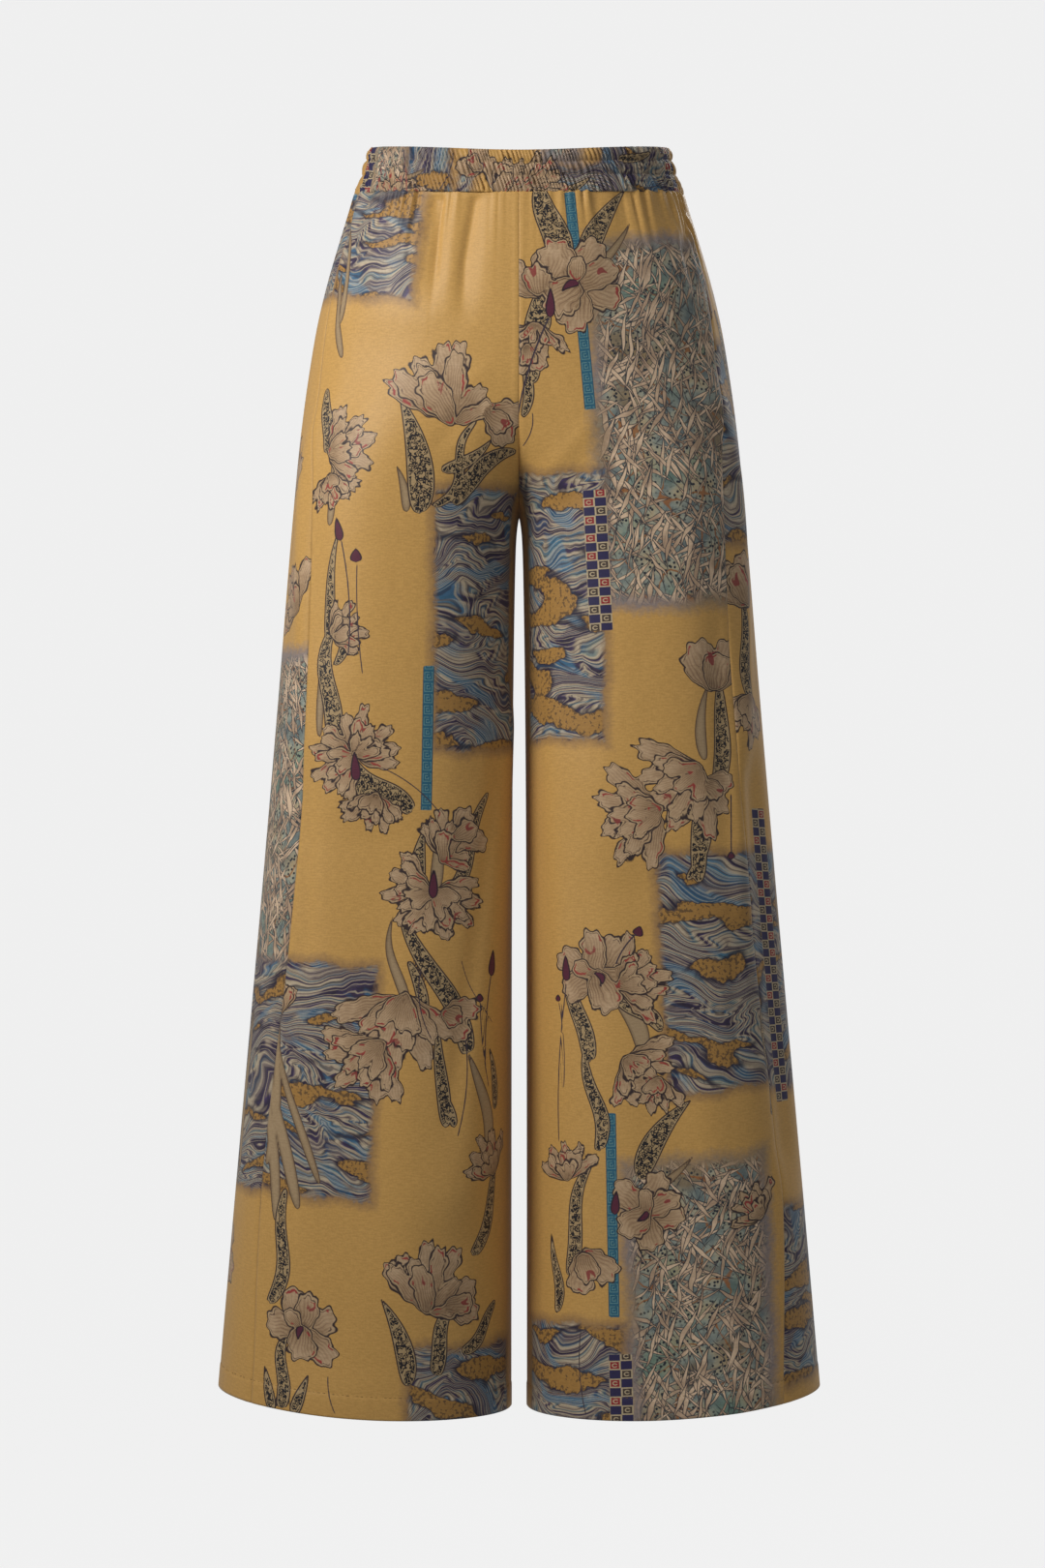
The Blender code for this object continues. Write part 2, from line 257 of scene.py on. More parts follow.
def leg_oval(drop):
    """Middle and half width of one leg's oval. At the hips it is the body's own oval."""
    width = size_at("half_width", drop)
    above = np.clip((RISE - drop) / CURVE_HEIGHT, 0.0, 1.0)
    parted = (1 + np.cos(np.pi * above ** CURVE_FULLNESS)) / 2
    below = np.maximum(drop - RISE, 0.0)
    gap = SEAM_GAP / 2 + GAP_AT_CROTCH * (1 - np.exp(-below / GAP_OPENS_IN))
    gap = gap + (GAP_AT_HEM - GAP_AT_CROTCH) * (1 - np.exp(-below / GAP_GROWS_IN))
    in_leg = drop >= RISE
    reach = np.where(in_leg, (width - gap) / 2, width / (1 + parted))
    middle = np.where(in_leg, gap + reach, parted * reach)
    return middle, reach


def angle_at(across, drop, face):
    """Angle about a leg's middle at a distance from the centre line; the back's are below 0."""
    middle, reach = leg_oval(drop)
    square = size_at("squareness", drop)
    depth = size_at("front_depth" if face == "front" else "back_depth", drop)
    share = np.clip((across - middle) / reach, -1.0, 1.0)
    height = depth * np.maximum(1 - np.abs(share) ** square, 0.0) ** (1 / square)
    angle = np.arctan2(np.maximum(height, LEAST_HEIGHT), share * reach)
    return angle if face == "front" else -angle


def seam_angle(side, drop):
    """Angle of the side seam, which lies on the front half."""
    drops = column(SIDE_SEAM_COLUMNS, SIDE_SEAMS, "drop")
    shares = column(SIDE_SEAM_COLUMNS, SIDE_SEAMS, side + "_share")
    return angle_at(smooth_curve(drops, shares, drop) * size_at("half_width", drop), drop, "front")


def inner_angle(drop, face):
    """Angle of a panel's inner edge: the centre seam, and below the crotch the inseam."""
    above = angle_at(np.full_like(drop, -EDGE_LAP / 2), drop, face)
    below = angle_at(leg_oval(drop)[0] - leg_oval(drop)[1], drop, face)
    return np.where(drop < RISE, above, below)


def fold_height(folds, side, angle, drop):
    """How far a table of folds lifts the cloth off its oval."""
    total = np.zeros_like(drop)
    radius = size_at("front_depth", drop)
    for fold in folds:
        row = dict(zip(FOLD_COLUMNS, fold))
        if row["side"] != side:
            continue
        ends = []
        for end in ("top", "foot"):
            at_drop = np.array([row[end + "_drop"]])
            across = row[end + "_out"] * size_at("half_width", at_drop)
            ends.append(angle_at(across, at_drop, row["face"])[0])
        part = (drop - row["top_drop"]) / (row["foot_drop"] - row["top_drop"])
        line = ends[0] + (ends[1] - ends[0]) * np.clip(part, 0.0, 1.0)
        away = (angle - line) * radius / row["width"]
        begins = ease((drop - row["top_drop"]) / FOLD_FADE + 1)
        dies = ease((row["foot_drop"] - drop) / FOLD_FADE + 1)
        total = total + row["height"] * np.exp(-away ** 2) * begins * dies
    return total


def gather_height(side, angle, drop):
    """Gathers under the band: uneven in depth, spacing and length, and gone by the hips."""
    angles = column(GATHER_COLUMNS, GATHERS, "angle") * DEGREE
    depth = np.interp(angle, angles, column(GATHER_COLUMNS, GATHERS, side + "_depth"))
    along = angle * size_at("front_depth", np.full_like(drop, BAND_HEIGHT))
    shift = GATHER_STARTS[side]
    phase = 2 * np.pi * (along / GATHER_PITCH + sway(along, shift, GATHER_DRIFT))
    uneven = 1 + sway(along, shift, GATHER_UNEVEN)
    length = GATHER_LENGTH * (1 + sway(along, shift, GATHER_REACH))
    below = np.maximum(drop - BAND_HEIGHT, 0.0)
    fades = np.exp(-(below / length) ** GATHER_FADE)
    ridge = np.cos(phase) - 0.25 * np.cos(2 * phase + 0.6)
    finer = np.cos(2.3 * phase + 1.1) * np.exp(-below / (FINER_LENGTH * GATHER_LENGTH))
    return depth * uneven * (ridge + FINER_GATHERS * finer) * fades


def oval_point(side, angle, drop):
    """A point of the garment's form at an angle about the leg's middle."""
    middle, reach = leg_oval(drop)
    square = size_at("squareness", drop)
    depth = np.where(angle > 0, size_at("front_depth", drop), size_at("back_depth", drop))
    flat = np.abs(np.cos(angle) / reach) ** square + np.abs(np.sin(angle) / depth) ** square
    radius = flat ** (-1 / square)
    across = middle + radius * np.cos(angle)
    deep = -radius * np.sin(angle)
    facing = np.sin(angle)
    behind = BACK_LIFT * (1 - np.exp(np.minimum(facing, 0.0) * FRONT_DIP / BACK_LIFT))
    tilt = (behind - FRONT_DIP * np.maximum(facing, 0.0)) * (1 - ease(drop / DIP_UNTIL))
    outer = ((1 + np.cos(angle)) / 2) ** SIDE_LIFT_NARROWS
    lift = SIDE_LIFT * outer * ease((drop - LIFT_FROM) / (INSIDE_DROP - LIFT_FROM))
    return np.stack([SIDE_SIGN[side] * across, deep, tilt + lift - drop], axis=-1)


def row_drops(share):
    """Drops of a row's outer and inner ends, from 0 at the band to 1 at the hem."""
    down = share * (INSIDE_DROP - BAND_HEIGHT)
    curve_top = RISE - CURVE_HEIGHT - BAND_HEIGHT
    hip = BAND_HEIGHT + np.minimum(down, curve_top)
    around = np.clip((down - curve_top) / CURVE_HEIGHT, 0, 1)
    leg = np.maximum(down - curve_top - CURVE_HEIGHT, 0.0)
    outer = hip + CURVE_HEIGHT * around + leg
    inner = hip + CURVE_HEIGHT * (1 - (1 - around) ** CURVE_ROW_CROWDING) + leg
    return outer, inner


def panel_place(side, face, across, down):
    """Angle and drop on a panel; across runs from side seam to inner edge, down to the hem."""
    outer_drop, inner_drop = row_drops(down)
    drop = outer_drop + (inner_drop - outer_drop) * across ** ROW_BEND
    half_lap = EDGE_LAP / 2 / size_at("front_depth", drop)
    start = seam_angle(side, drop) + (-half_lap if face == "front" else half_lap)
    return start + (inner_angle(drop, face) - start) * across, drop


def panel_relief(side, across, down, angle, drop, width):
    """How far a panel's cloth stands off its oval: folds, gathers, seams and hem."""
    calm = ease((1 - across) / CENTRE_CALM)
    relief = fold_height(LARGE_FOLDS + SMALL_FOLDS, side, angle, drop) * calm
    relief = relief + gather_height(side, angle, drop)
    held = np.exp(-(np.maximum(drop - BAND_HEIGHT, 0.0) / SEAM_HOLDS_OVER) ** 2)
    relief = relief + held * (SEAM_HOLDS * np.tanh(relief / SEAM_HOLDS) - relief)
    for edge in (across, 1 - across):
        from_middle = np.abs(edge * width / SEAM_ALLOWANCE - 0.5)
        relief = relief + SEAM_SWELL * ease(1 - from_middle * SEAM_STEEPNESS)
    above_hem = (1 - down) * (INSIDE_DROP - BAND_HEIGHT)
    relief = relief + HEM_SWELL * ease((HEM_TURN - above_hem) / HEM_SWELL_OVER + 0.5)
    groove = np.exp(-((above_hem - HEM_TURN) / HEM_GROOVE_WIDTH) ** 2)
    return relief - HEM_GROOVE * groove * (1 + sway(angle, 1, HEM_PUCKER))


def unit_normals(form, across, down):
    """Unit normals of a form and its points, from its slopes at the given places."""
    left = np.clip(across - SLOPE_STEP, 0, 1)
    right = np.clip(across + SLOPE_STEP, 0, 1)
    upper = np.clip(down - SLOPE_STEP, 0, 1)
    lower = np.clip(down + SLOPE_STEP, 0, 1)
    along = form(right, down) - form(left, down)
    fall = form(across, lower) - form(across, upper)
    normal = np.cross(fall, along)
    return normal / np.linalg.norm(normal, axis=-1, keepdims=True), form(across, down)


# ---------------------------------------------------------------------------------------------
# Cloth coordinates: how far along the cloth, and the drop
# ---------------------------------------------------------------------------------------------

PLUMB_OUT = 0.09        # the cloth is measured from the line this far from the centre
CHART_DROPS = 240
CHART_ANGLES = 400
BACK_REACHES_TO = 1.3   # the back panels reach round to this angle on the front half


class ClothChart:
    """How far along the cloth a place on the front or the back half is, measured level."""

    def __init__(self, face):
        self.drops = np.linspace(0.0, INSIDE_DROP, CHART_DROPS)
        first = 0.0 if face == "front" else BACK_REACHES_TO
        last = math.pi if face == "front" else -math.pi
        self.angles = np.linspace(first, last, CHART_ANGLES)
        drop, angle = np.meshgrid(self.drops, self.angles, indexing="ij")
        points = oval_point("right", angle, drop)[..., :2]
        steps = np.linalg.norm(np.diff(points, axis=1), axis=-1)
        length = np.concatenate([np.zeros((CHART_DROPS, 1)), np.cumsum(steps, axis=1)], axis=1)
        self.length = length
        plumb = angle_at(np.full(CHART_DROPS, PLUMB_OUT), self.drops, face)
        self.length = self.read(plumb, self.drops)[:, None] + PLUMB_OUT - length

    def read(self, angle, drop):
        """The cloth's distance from the centre at angles and drops."""
        row = np.clip(drop / self.drops[-1], 0, 1) * (CHART_DROPS - 1)
        turned = (angle - self.angles[0]) / (self.angles[-1] - self.angles[0])
        place = np.clip(turned, 0, 1) * (CHART_ANGLES - 1)
        row_start = np.minimum(row.astype(int), CHART_DROPS - 2)
        start = np.minimum(place.astype(int), CHART_ANGLES - 2)
        down = row - row_start
        on = place - start
        upper = self.length[row_start, start] * (1 - on) + self.length[row_start, start + 1] * on
        lower = self.length[row_start + 1, start] * (1 - on)
        lower = lower + self.length[row_start + 1, start + 1] * on
        return upper * (1 - down) + lower * down


# ---------------------------------------------------------------------------------------------
# The print's layout, in millimetres and degrees. Each place is out along the cloth from the centre
# line, negative on the left, and a drop. A turn is clockwise from straight up.
# ---------------------------------------------------------------------------------------------

PATCH_COLUMNS = ("layer", "left", "right", "top", "foot", "lean")
PATCHES = (
    ("waves", -160, -77, 14, 129, 7),
    ("waves", -66, 20, 281, 486, 0),
    ("waves", -20, 67, 269, 478, 0),
    ("waves", -240, -114, 654, 840, 2),
    ("waves", 112, 240, 566, 755, -3),
    ("waves", -87, 20, 956, 1040, 0),
    ("waves", -20, 81, 938, 1040, 0),
    ("bamboo", 56, 185, 78, 376, -2),
    ("bamboo", 83, 206, 806, 1050, -2),
)
STRIP_COLUMNS = ("layer", "out", "drop", "width", "length", "lean")
STRIPS = (
    ("meander", 45.8, 130, 8.8, 182, -6),
    ("meander", -71.5, 477, 8.8, 113, 1),
    ("meander", 72.5, 851, 8.8, 160, -1),
    ("checks", 61.2, 338, 18.8, 110, -3),
    ("checks", 80, 1000, 18.8, 80, -2),
)

# A flower is rings of petals about a point, sized by its own height.
FLOWER_COLUMNS = (
    "flower", "layer", "count", "first_turn", "turn_step", "along", "length", "width", "lobes",
    "ruffle")
FLOWER_RINGS = (
    ("iris", "petal_low", 2, -40, 78, 0.40, 0.56, 0.34, 9, 0.07),
    ("iris", "petal_mid", 1, 4, 0, 0.36, 0.60, 0.32, 9, 0.07),
    ("iris", "petal_mid", 2, -104, 216, 0.44, 0.52, 0.36, 9, 0.09),
    ("iris", "petal_top", 1, 172, 0, 0.50, 0.50, 0.40, 10, 0.09),
    ("iris", "petal_top", 1, -60, 0, 0.44, 0.30, 0.20, 8, 0.07),
    ("iris", "red", 2, -20, 44, 0.70, 0.13, 0.045, 0, 0),
    ("iris", "plum", 1, 175, 0, 0.47, 0.18, 0.080, 0, 0),
    ("tulip", "petal_low", 4, -34, 24, 0.10, 0.82, 0.26, 10, 0.08),
    ("tulip", "petal_mid", 3, -22, 22, 0.05, 0.78, 0.24, 10, 0.08),
    ("tulip", "petal_mid", 1, 66, 0, 0.06, 0.56, 0.22, 9, 0.09),
    ("tulip", "petal_top", 1, -6, 0, 0.02, 0.62, 0.30, 9, 0.07),
    ("tulip", "petal_top", 1, 92, 0, 0.04, 0.50, 0.18, 9, 0.09),
    ("tulip", "red", 1, 12, 0, 0.40, 0.22, 0.022, 0, 0),
    ("tulip", "red", 1, 40, 0, 0.36, 0.18, 0.022, 0, 0),
    ("frill", "petal_low", 5, -60, 30, 0.06, 0.84, 0.27, 10, 0.09),
    ("frill", "petal_mid", 4, -45, 30, 0.03, 0.68, 0.23, 10, 0.09),
    ("frill", "petal_top", 3, -30, 30, 0.00, 0.50, 0.20, 9, 0.08),
    ("frill", "red", 3, -48, 44, 0.56, 0.16, 0.032, 0, 0),
    ("lip", "petal_low", 2, -30, 56, 0.00, 0.92, 0.60, 9, 0.09),
    ("lip", "petal_top", 1, 4, 0, 0.00, 0.66, 0.52, 9, 0.09),
    ("lip", "red", 2, -26, 44, 0.40, 0.26, 0.090, 0, 0),
)
TURN_SPREAD = 7         # degrees that a petal's turn strays
LENGTH_SPREAD = 0.10

BLOOM_COLUMNS = ("flower", "out", "drop", "turn", "height")
BLOOMS = (
    ("tulip", -50, 234, -24, 74),
    ("lip", -26, 222, 118, 34),
    ("frill", -158, 252, 76, 50),
    ("frill", -155, 268, 168, 34),
    ("frill", -150, 398, 60, 34),
    ("frill", -128, 490, -112, 44),
    ("frill", -131, 492, 48, 44),
    ("frill", -112, 520, 196, 36),
    ("tulip", -58, 576, 8, 44),
    ("lip", -50, 556, 60, 32),
    ("frill", -66, 598, -96, 46),
    ("frill", -67, 594, 140, 48),
    ("frill", -90, 676, 190, 66),
    ("frill", -106, 716, 222, 56),
    ("lip", -60, 690, 118, 32),
    ("frill", -6, 822, -34, 40),
    ("tulip", -70, 930, -12, 62),
    ("lip", -56, 922, 84, 34),
    ("iris", -182, 972, 20, 62),
    ("frill", -196, 700, -20, 36),
    ("iris", 13, 135, 66, 74),
    ("lip", 14, 132, -16, 40),
    ("frill", 12, 152, 188, 36),
    ("lip", 6, 170, 182, 26),
    ("lip", 155, 440, 0, 50),
    ("frill", 146, 500, 232, 62),
    ("frill", 112, 532, 254, 60),
    ("lip", 146, 512, 116, 30),
    ("iris", 66, 690, -14, 64),
    ("frill", 76, 672, 72, 46),
    ("frill", 82, 726, 132, 44),
    ("frill", 110, 742, 200, 34),
    ("iris", 76, 862, 62, 60),
    ("frill", 34, 826, -12, 36),
    ("lip", 46, 880, 160, 40),
    ("frill", 196, 862, -40, 34),
)

BLADE_COLUMNS = ("layer", "out", "drop", "turn", "length", "width", "bend", "sway")
BLADES = (
    ("stem", 30.5, 110, -14, 80, 22, 2, 2),
    ("speckle", 49, 104, 27, 74, 18, -4, 0),
    ("pale", 56, 112, 36, 54, 7, 3, 0),
    ("speckle", 11, 164, 4, 40, 20, 2, 0),
    ("speckle", 10, 200, 10, 50, 10, -6, 3),
    ("speckle", 3, 226, 2, 60, 8, 2, 2),
    ("plum", 23, 148, 0, 22, 6.8, 0, 0),
    ("speckle", -77, 301, -10, 92, 21, 6, 0),
    ("pale", -88, 300, -12, 36, 7, 2, 0),
    ("stem", -66, 296, 26, 74, 8, 4, 6),
    ("stem", -52, 292, 52, 66, 15, -6, 2),
    ("speckle", -60, 268, 58, 46, 10, 4, 0),
    ("stem", -157, 252, -6, 52, 12, 1, 1),
    ("pale", -152, 310, 0, 56, 7, 2, 0),
    ("plum", -141.5, 322, -12, 18, 7, 0, 0),
    ("plum", -128, 339, 0, 10, 9, 0, 0),
    ("speckle", -152, 402, 6, 88, 9, -3, 1),
    ("speckle", -145, 420, 12, 52, 8, 3, 2),
    ("stem", -146, 482, 0, 96, 15, -6, 4),
    ("pale", -158, 476, 4, 92, 6, -2, 0),
    ("plum", -127.5, 510, -4, 22, 7.2, 0, 0),
    ("stem", -84, 534, -48, 64, 14, -3, 3),
    ("stem", -122, 536, -14, 50, 11, 3, 2),
    ("stem", -60, 606, 26, 96, 11, 3, 4),
    ("speckle", -79, 596, 6, 48, 12, -2, 0),
    ("pale", -66, 600, 2, 58, 10, 2, 0),
    ("plum", -67, 602, 2, 22, 6.8, 0, 0),
    ("pale", -86, 690, -10, 74, 8, -6, 2),
    ("stem", -38, 724, -27, 118, 16, 4, 3),
    ("stem", -74, 690, -18, 40, 9, 2, 0),
    ("speckle", -57, 782, -4, 84, 11, -1, 1),
    ("speckle", -50, 782, -22, 36, 7, 2, 0),
    ("pale", -18, 806, -14, 84, 13, 6, 2),
    ("plum", -16.5, 664, 6, 20, 6.6, 0, 0),
    ("plum", -28, 684, 0, 6, 6, 0, 0),
    ("speckle", -8, 770, -12, 50, 9, 3, 0),
    ("stem", -30, 884, 18, 76, 12, 5, 2),
    ("pale", -196, 864, -4, 190, 10, -4, 4),
    ("pale", -176, 852, -12, 176, 11, -6, 3),
    ("pale", -158, 830, -16, 150, 7, -7, 2),
    ("pale", -206, 820, 4, 150, 9, 4, 2),
    ("speckle", -86, 984, -18, 70, 15, 5, 0),
    ("stem", -64, 976, 16, 58, 13, -5, 2),
    ("stem", -40, 960, 44, 52, 11, 3, 2),
    ("stem", -200, 930, 8, 94, 12, 4, 4),
    ("stem", -188, 1010, 4, 60, 11, -3, 3),
    ("speckle", -196, 1014, -14, 34, 9, 0, 0),
    ("speckle", -178, 1014, 20, 34, 9, 0, 0),
    ("speckle", -226, 890, 12, 60, 10, 2, 0),
    ("pale", -151, 148, 0, 86, 7.5, 4, 0),
    ("pale", -148, 176, -8, 72, 7, -3, 0),
    ("pale", 146, 494, 4, 60, 9, -5, 0),
    ("stem", 158, 516, 2, 82, 15, 3, 1),
    ("speckle", 141, 590, 4, 82, 13, -3, 1),
    ("speckle", 132, 588, 28, 44, 7, 2, 0),
    ("plum", 169, 572, 0, 6, 6, 0, 0),
    ("plum", 33.5, 668, 0, 20, 6.8, 0, 0),
    ("plum", 24, 684, 0, 5, 5, 0, 0),
    ("plum", 92, 632, 20, 8, 8, 0, 0),
    ("stem", 54, 730, -12, 80, 14, -3, 3),
    ("pale", 98, 726, -26, 78, 14, 4, 2),
    ("speckle", 112, 706, -58, 46, 12, 3, 2),
    ("stem", 62, 800, -10, 76, 12, 4, 3),
    ("speckle", 94, 822, 34, 72, 18, -6, 0),
    ("pale", 96, 836, 54, 50, 7, 3, 0),
    ("stem", 36, 900, 12, 92, 13, -5, 3),
    ("speckle", 22, 930, -6, 62, 10, 3, 2),
    ("stem", 214, 780, -8, 90, 12, 4, 3),
    ("pale", 226, 800, -12, 110, 11, 5, 2),
    ("plum", 74.5, 850, 4, 18, 6.6, 0, 0),
)

THREAD_COLUMNS = ("out", "drop", "turn", "length", "bend", "width")
THREADS = (
    (22.8, 147, 197, 82, 3, 0.9),
    (10, 222, 200, 28, -4, 0.6),
    (-141, 320, 176, 94, -4, 0.7),
    (-127, 339, 177, 90, 2, 0.6),
    (-16.5, 662, 184, 80, 3, 0.7),
    (-27.5, 684, 172, 70, 3, 0.6),
    (-40, 712, 186, 80, -4, 0.6),
    (-44, 650, 150, 60, 4, 0.5),
    (33.5, 668, 184, 130, 4, 0.7),
    (24.5, 684, 176, 70, -3, 0.6),
    (92, 630, 214, 30, 2, 0.8),
    (170, 520, 181, 50, 0, 0.7),
    (-76, 655, 172, 60, 6, 0.6),
    (-108, 500, 128, 60, -4, 0.6),
    (46, 940, 176, 70, 4, 0.6),
    (-150, 980, 168, 30, 2, 0.6),
)
REPEAT = 0.700          # height of the print's repeat, in metres
BACK_LOWER = 0.260      # on the back panels the print lies this much lower

# What the back panels show where they come round to the sides.
SIDE_PATCHES = (
    ("waves", -330, -180, 20, 125, 0),
    ("bamboo", -430, -256, 405, 664, 0),
    ("waves", -430, -258, 656, 842, 0),
    ("waves", 240, 420, 162, 322, 0),
    ("waves", 250, 430, 566, 760, 0),
    ("waves", 300, 430, 856, 997, 0),
)
SIDE_STRIPS = (
    ("checks", 322, 652, 18.8, 240, -3),
    ("meander", -270, 920, 8.8, 120, 0),
)
SIDE_BLOOMS = (
    ("frill", -330, 378, 52, 52),
    ("tulip", -262, 300, -14, 70),
    ("iris", -300, 940, 10, 70),
    ("lip", 318, 372, 30, 48),
    ("frill", 325, 440, 172, 50),
    ("tulip", 262, 140, 12, 70),
    ("iris", 270, 860, -16, 74),
    ("frill", 250, 480, -60, 56),
)
SIDE_BLADES = (
    ("stem", -262, 370, 8, 80, 13, 4, 3),
    ("speckle", -236, 360, 40, 60, 12, 3, 0),
    ("stem", 322, 452, 2, 84, 13, 4, 3),
    ("pale", 290, 640, -4, 90, 12, 4, 2),
    ("pale", -318, 830, 3, 140, 11, 4, 2),
    ("pale", -296, 820, -4, 130, 9, -4, 2),
    ("stem", -306, 930, 6, 80, 12, 4, 3),
    ("stem", 262, 224, -6, 90, 13, 4, 3),
    ("stem", 276, 950, 4, 90, 12, -4, 3),
    ("speckle", 250, 560, 20, 70, 13, 4, 0),
)
SIDE_THREADS = (
    (-300, 240, 180, 100, 4, 0.7),
    (300, 380, 184, 80, -4, 0.6),
)

# The band is cut across the print, so its motifs are its own.
BAND_PATCHES = (
    ("bamboo", -134, -84, -10, 60, 0),
    ("waves", -88, -50, -10, 60, 0),
    ("waves", -47, -34, 14, 60, 12),
    ("bamboo", 10, 46, -14, 16, 0),
    ("waves", 18, 134, 12, 60, -4),
    ("waves", 60, 134, -14, 16, 0),
)
BAND_STRIPS = (
    ("checks", -137.5, 20, 18.8, 80, 0),
    ("checks", 138.5, 20, 18.8, 80, 0),
)
BAND_BLOOMS = (
    ("frill", -98, 48, 12, 32),
    ("tulip", -14, 48, 24, 46),
    ("frill", 4, 32, 66, 34),
    ("lip", -26, 20, -40, 24),
)
BAND_BLADES = (
    ("speckle", 18, 44, 62, 40, 9, 3, 0),
    ("red", -120, 40, 4, 36, 1.6, 1, 0),
    ("red", -112, 38, -6, 34, 1.4, 1, 0),
    ("red", -88, 42, -6, 44, 1.4, 0, 0),
    ("pale", -104, 30, 70, 34, 5, 2, 0),
    ("stem", 78, 10, 82, 32, 7, 2, 0),
)
BAND_THREADS = (
    (-95, 38, 4, 36, 2, 0.6),
    (-60, 38, 20, 36, 2, 0.6),
    (30, 36, -16, 30, 3, 0.6),
    (100, 36, 60, 40, 6, 0.6),
)


def tables_of(*tables):
    """Tables of patches, strips, blooms, blades and threads, each with its columns' names."""
    columns = (PATCH_COLUMNS, STRIP_COLUMNS, BLOOM_COLUMNS, BLADE_COLUMNS, THREAD_COLUMNS)
    return tuple(zip(columns, tables))


LEG_PRINT = tables_of(PATCHES, STRIPS, BLOOMS, BLADES, THREADS)
SIDE_PRINT = tables_of(SIDE_PATCHES, SIDE_STRIPS, SIDE_BLOOMS, SIDE_BLADES, SIDE_THREADS)
BAND_PRINT = tables_of(BAND_PATCHES, BAND_STRIPS, BAND_BLOOMS, BAND_BLADES, BAND_THREADS)

FAR = 0.03              # a signed distance stops growing here
SHAPE_LAYERS = (
    "petal_low", "petal_mid", "petal_top", "speckle", "pale", "red", "plum", "waves", "bamboo",
    "checks", "meander")
DETAILS = {             # what else the material reads, and what it is away from every motif
    "vein_across": 0.0, "vein_along": 0.0, "strip_across": 0.0, "strip_along": 0.0,
    "thread_side": FAR, "thread_width": -FAR}
PRINT_SHIFT = 0.137     # from one piece's fine pattern to the next one's
PETAL_REACH = 1.5       # how many lengths away a petal or a blade can still show
BLADE_REACH = 1.3
PETAL_EGG = 0.30        # a petal is this much wider near its tip
PETAL_RIM = 0.001       # a petal's veins go this far past its edge
PETAL_LOBES = ((2.0, 0.5, 1), (0.5, 0.9, 2))
LOBE_LEVEL = 1.6
TIP_RUFFLE = 1.2        # nearer to 1, a petal's foot is smoother than its tip
THREAD_FADES = 0.25     # how fast a thread's width is lost beside it
THREAD_ENDS = 12        # a thread comes to its width in one part of this many
THREAD_TIP = 0.002      # takes away what is left of it past its ends
BLADE_TAPER = 0.75
BLADE_BELLY = 0.55      # below 1 puts the widest place nearer to the foot
STEM_TAPER = 0.38       # nearer to 0, a stem keeps its width to its ends
PATCH_WAVER = 0.0012    # how far a patch's edge strays from straight
SIDE_WAVER = ((1, 190, 1), (1, 83, 2))
END_WAVER = ((1, 170, 1), (1, 71, 3))


def rows_of(columns, rows):
    """A table's rows as named values."""
    return [dict(zip(columns, row)) for row in rows]


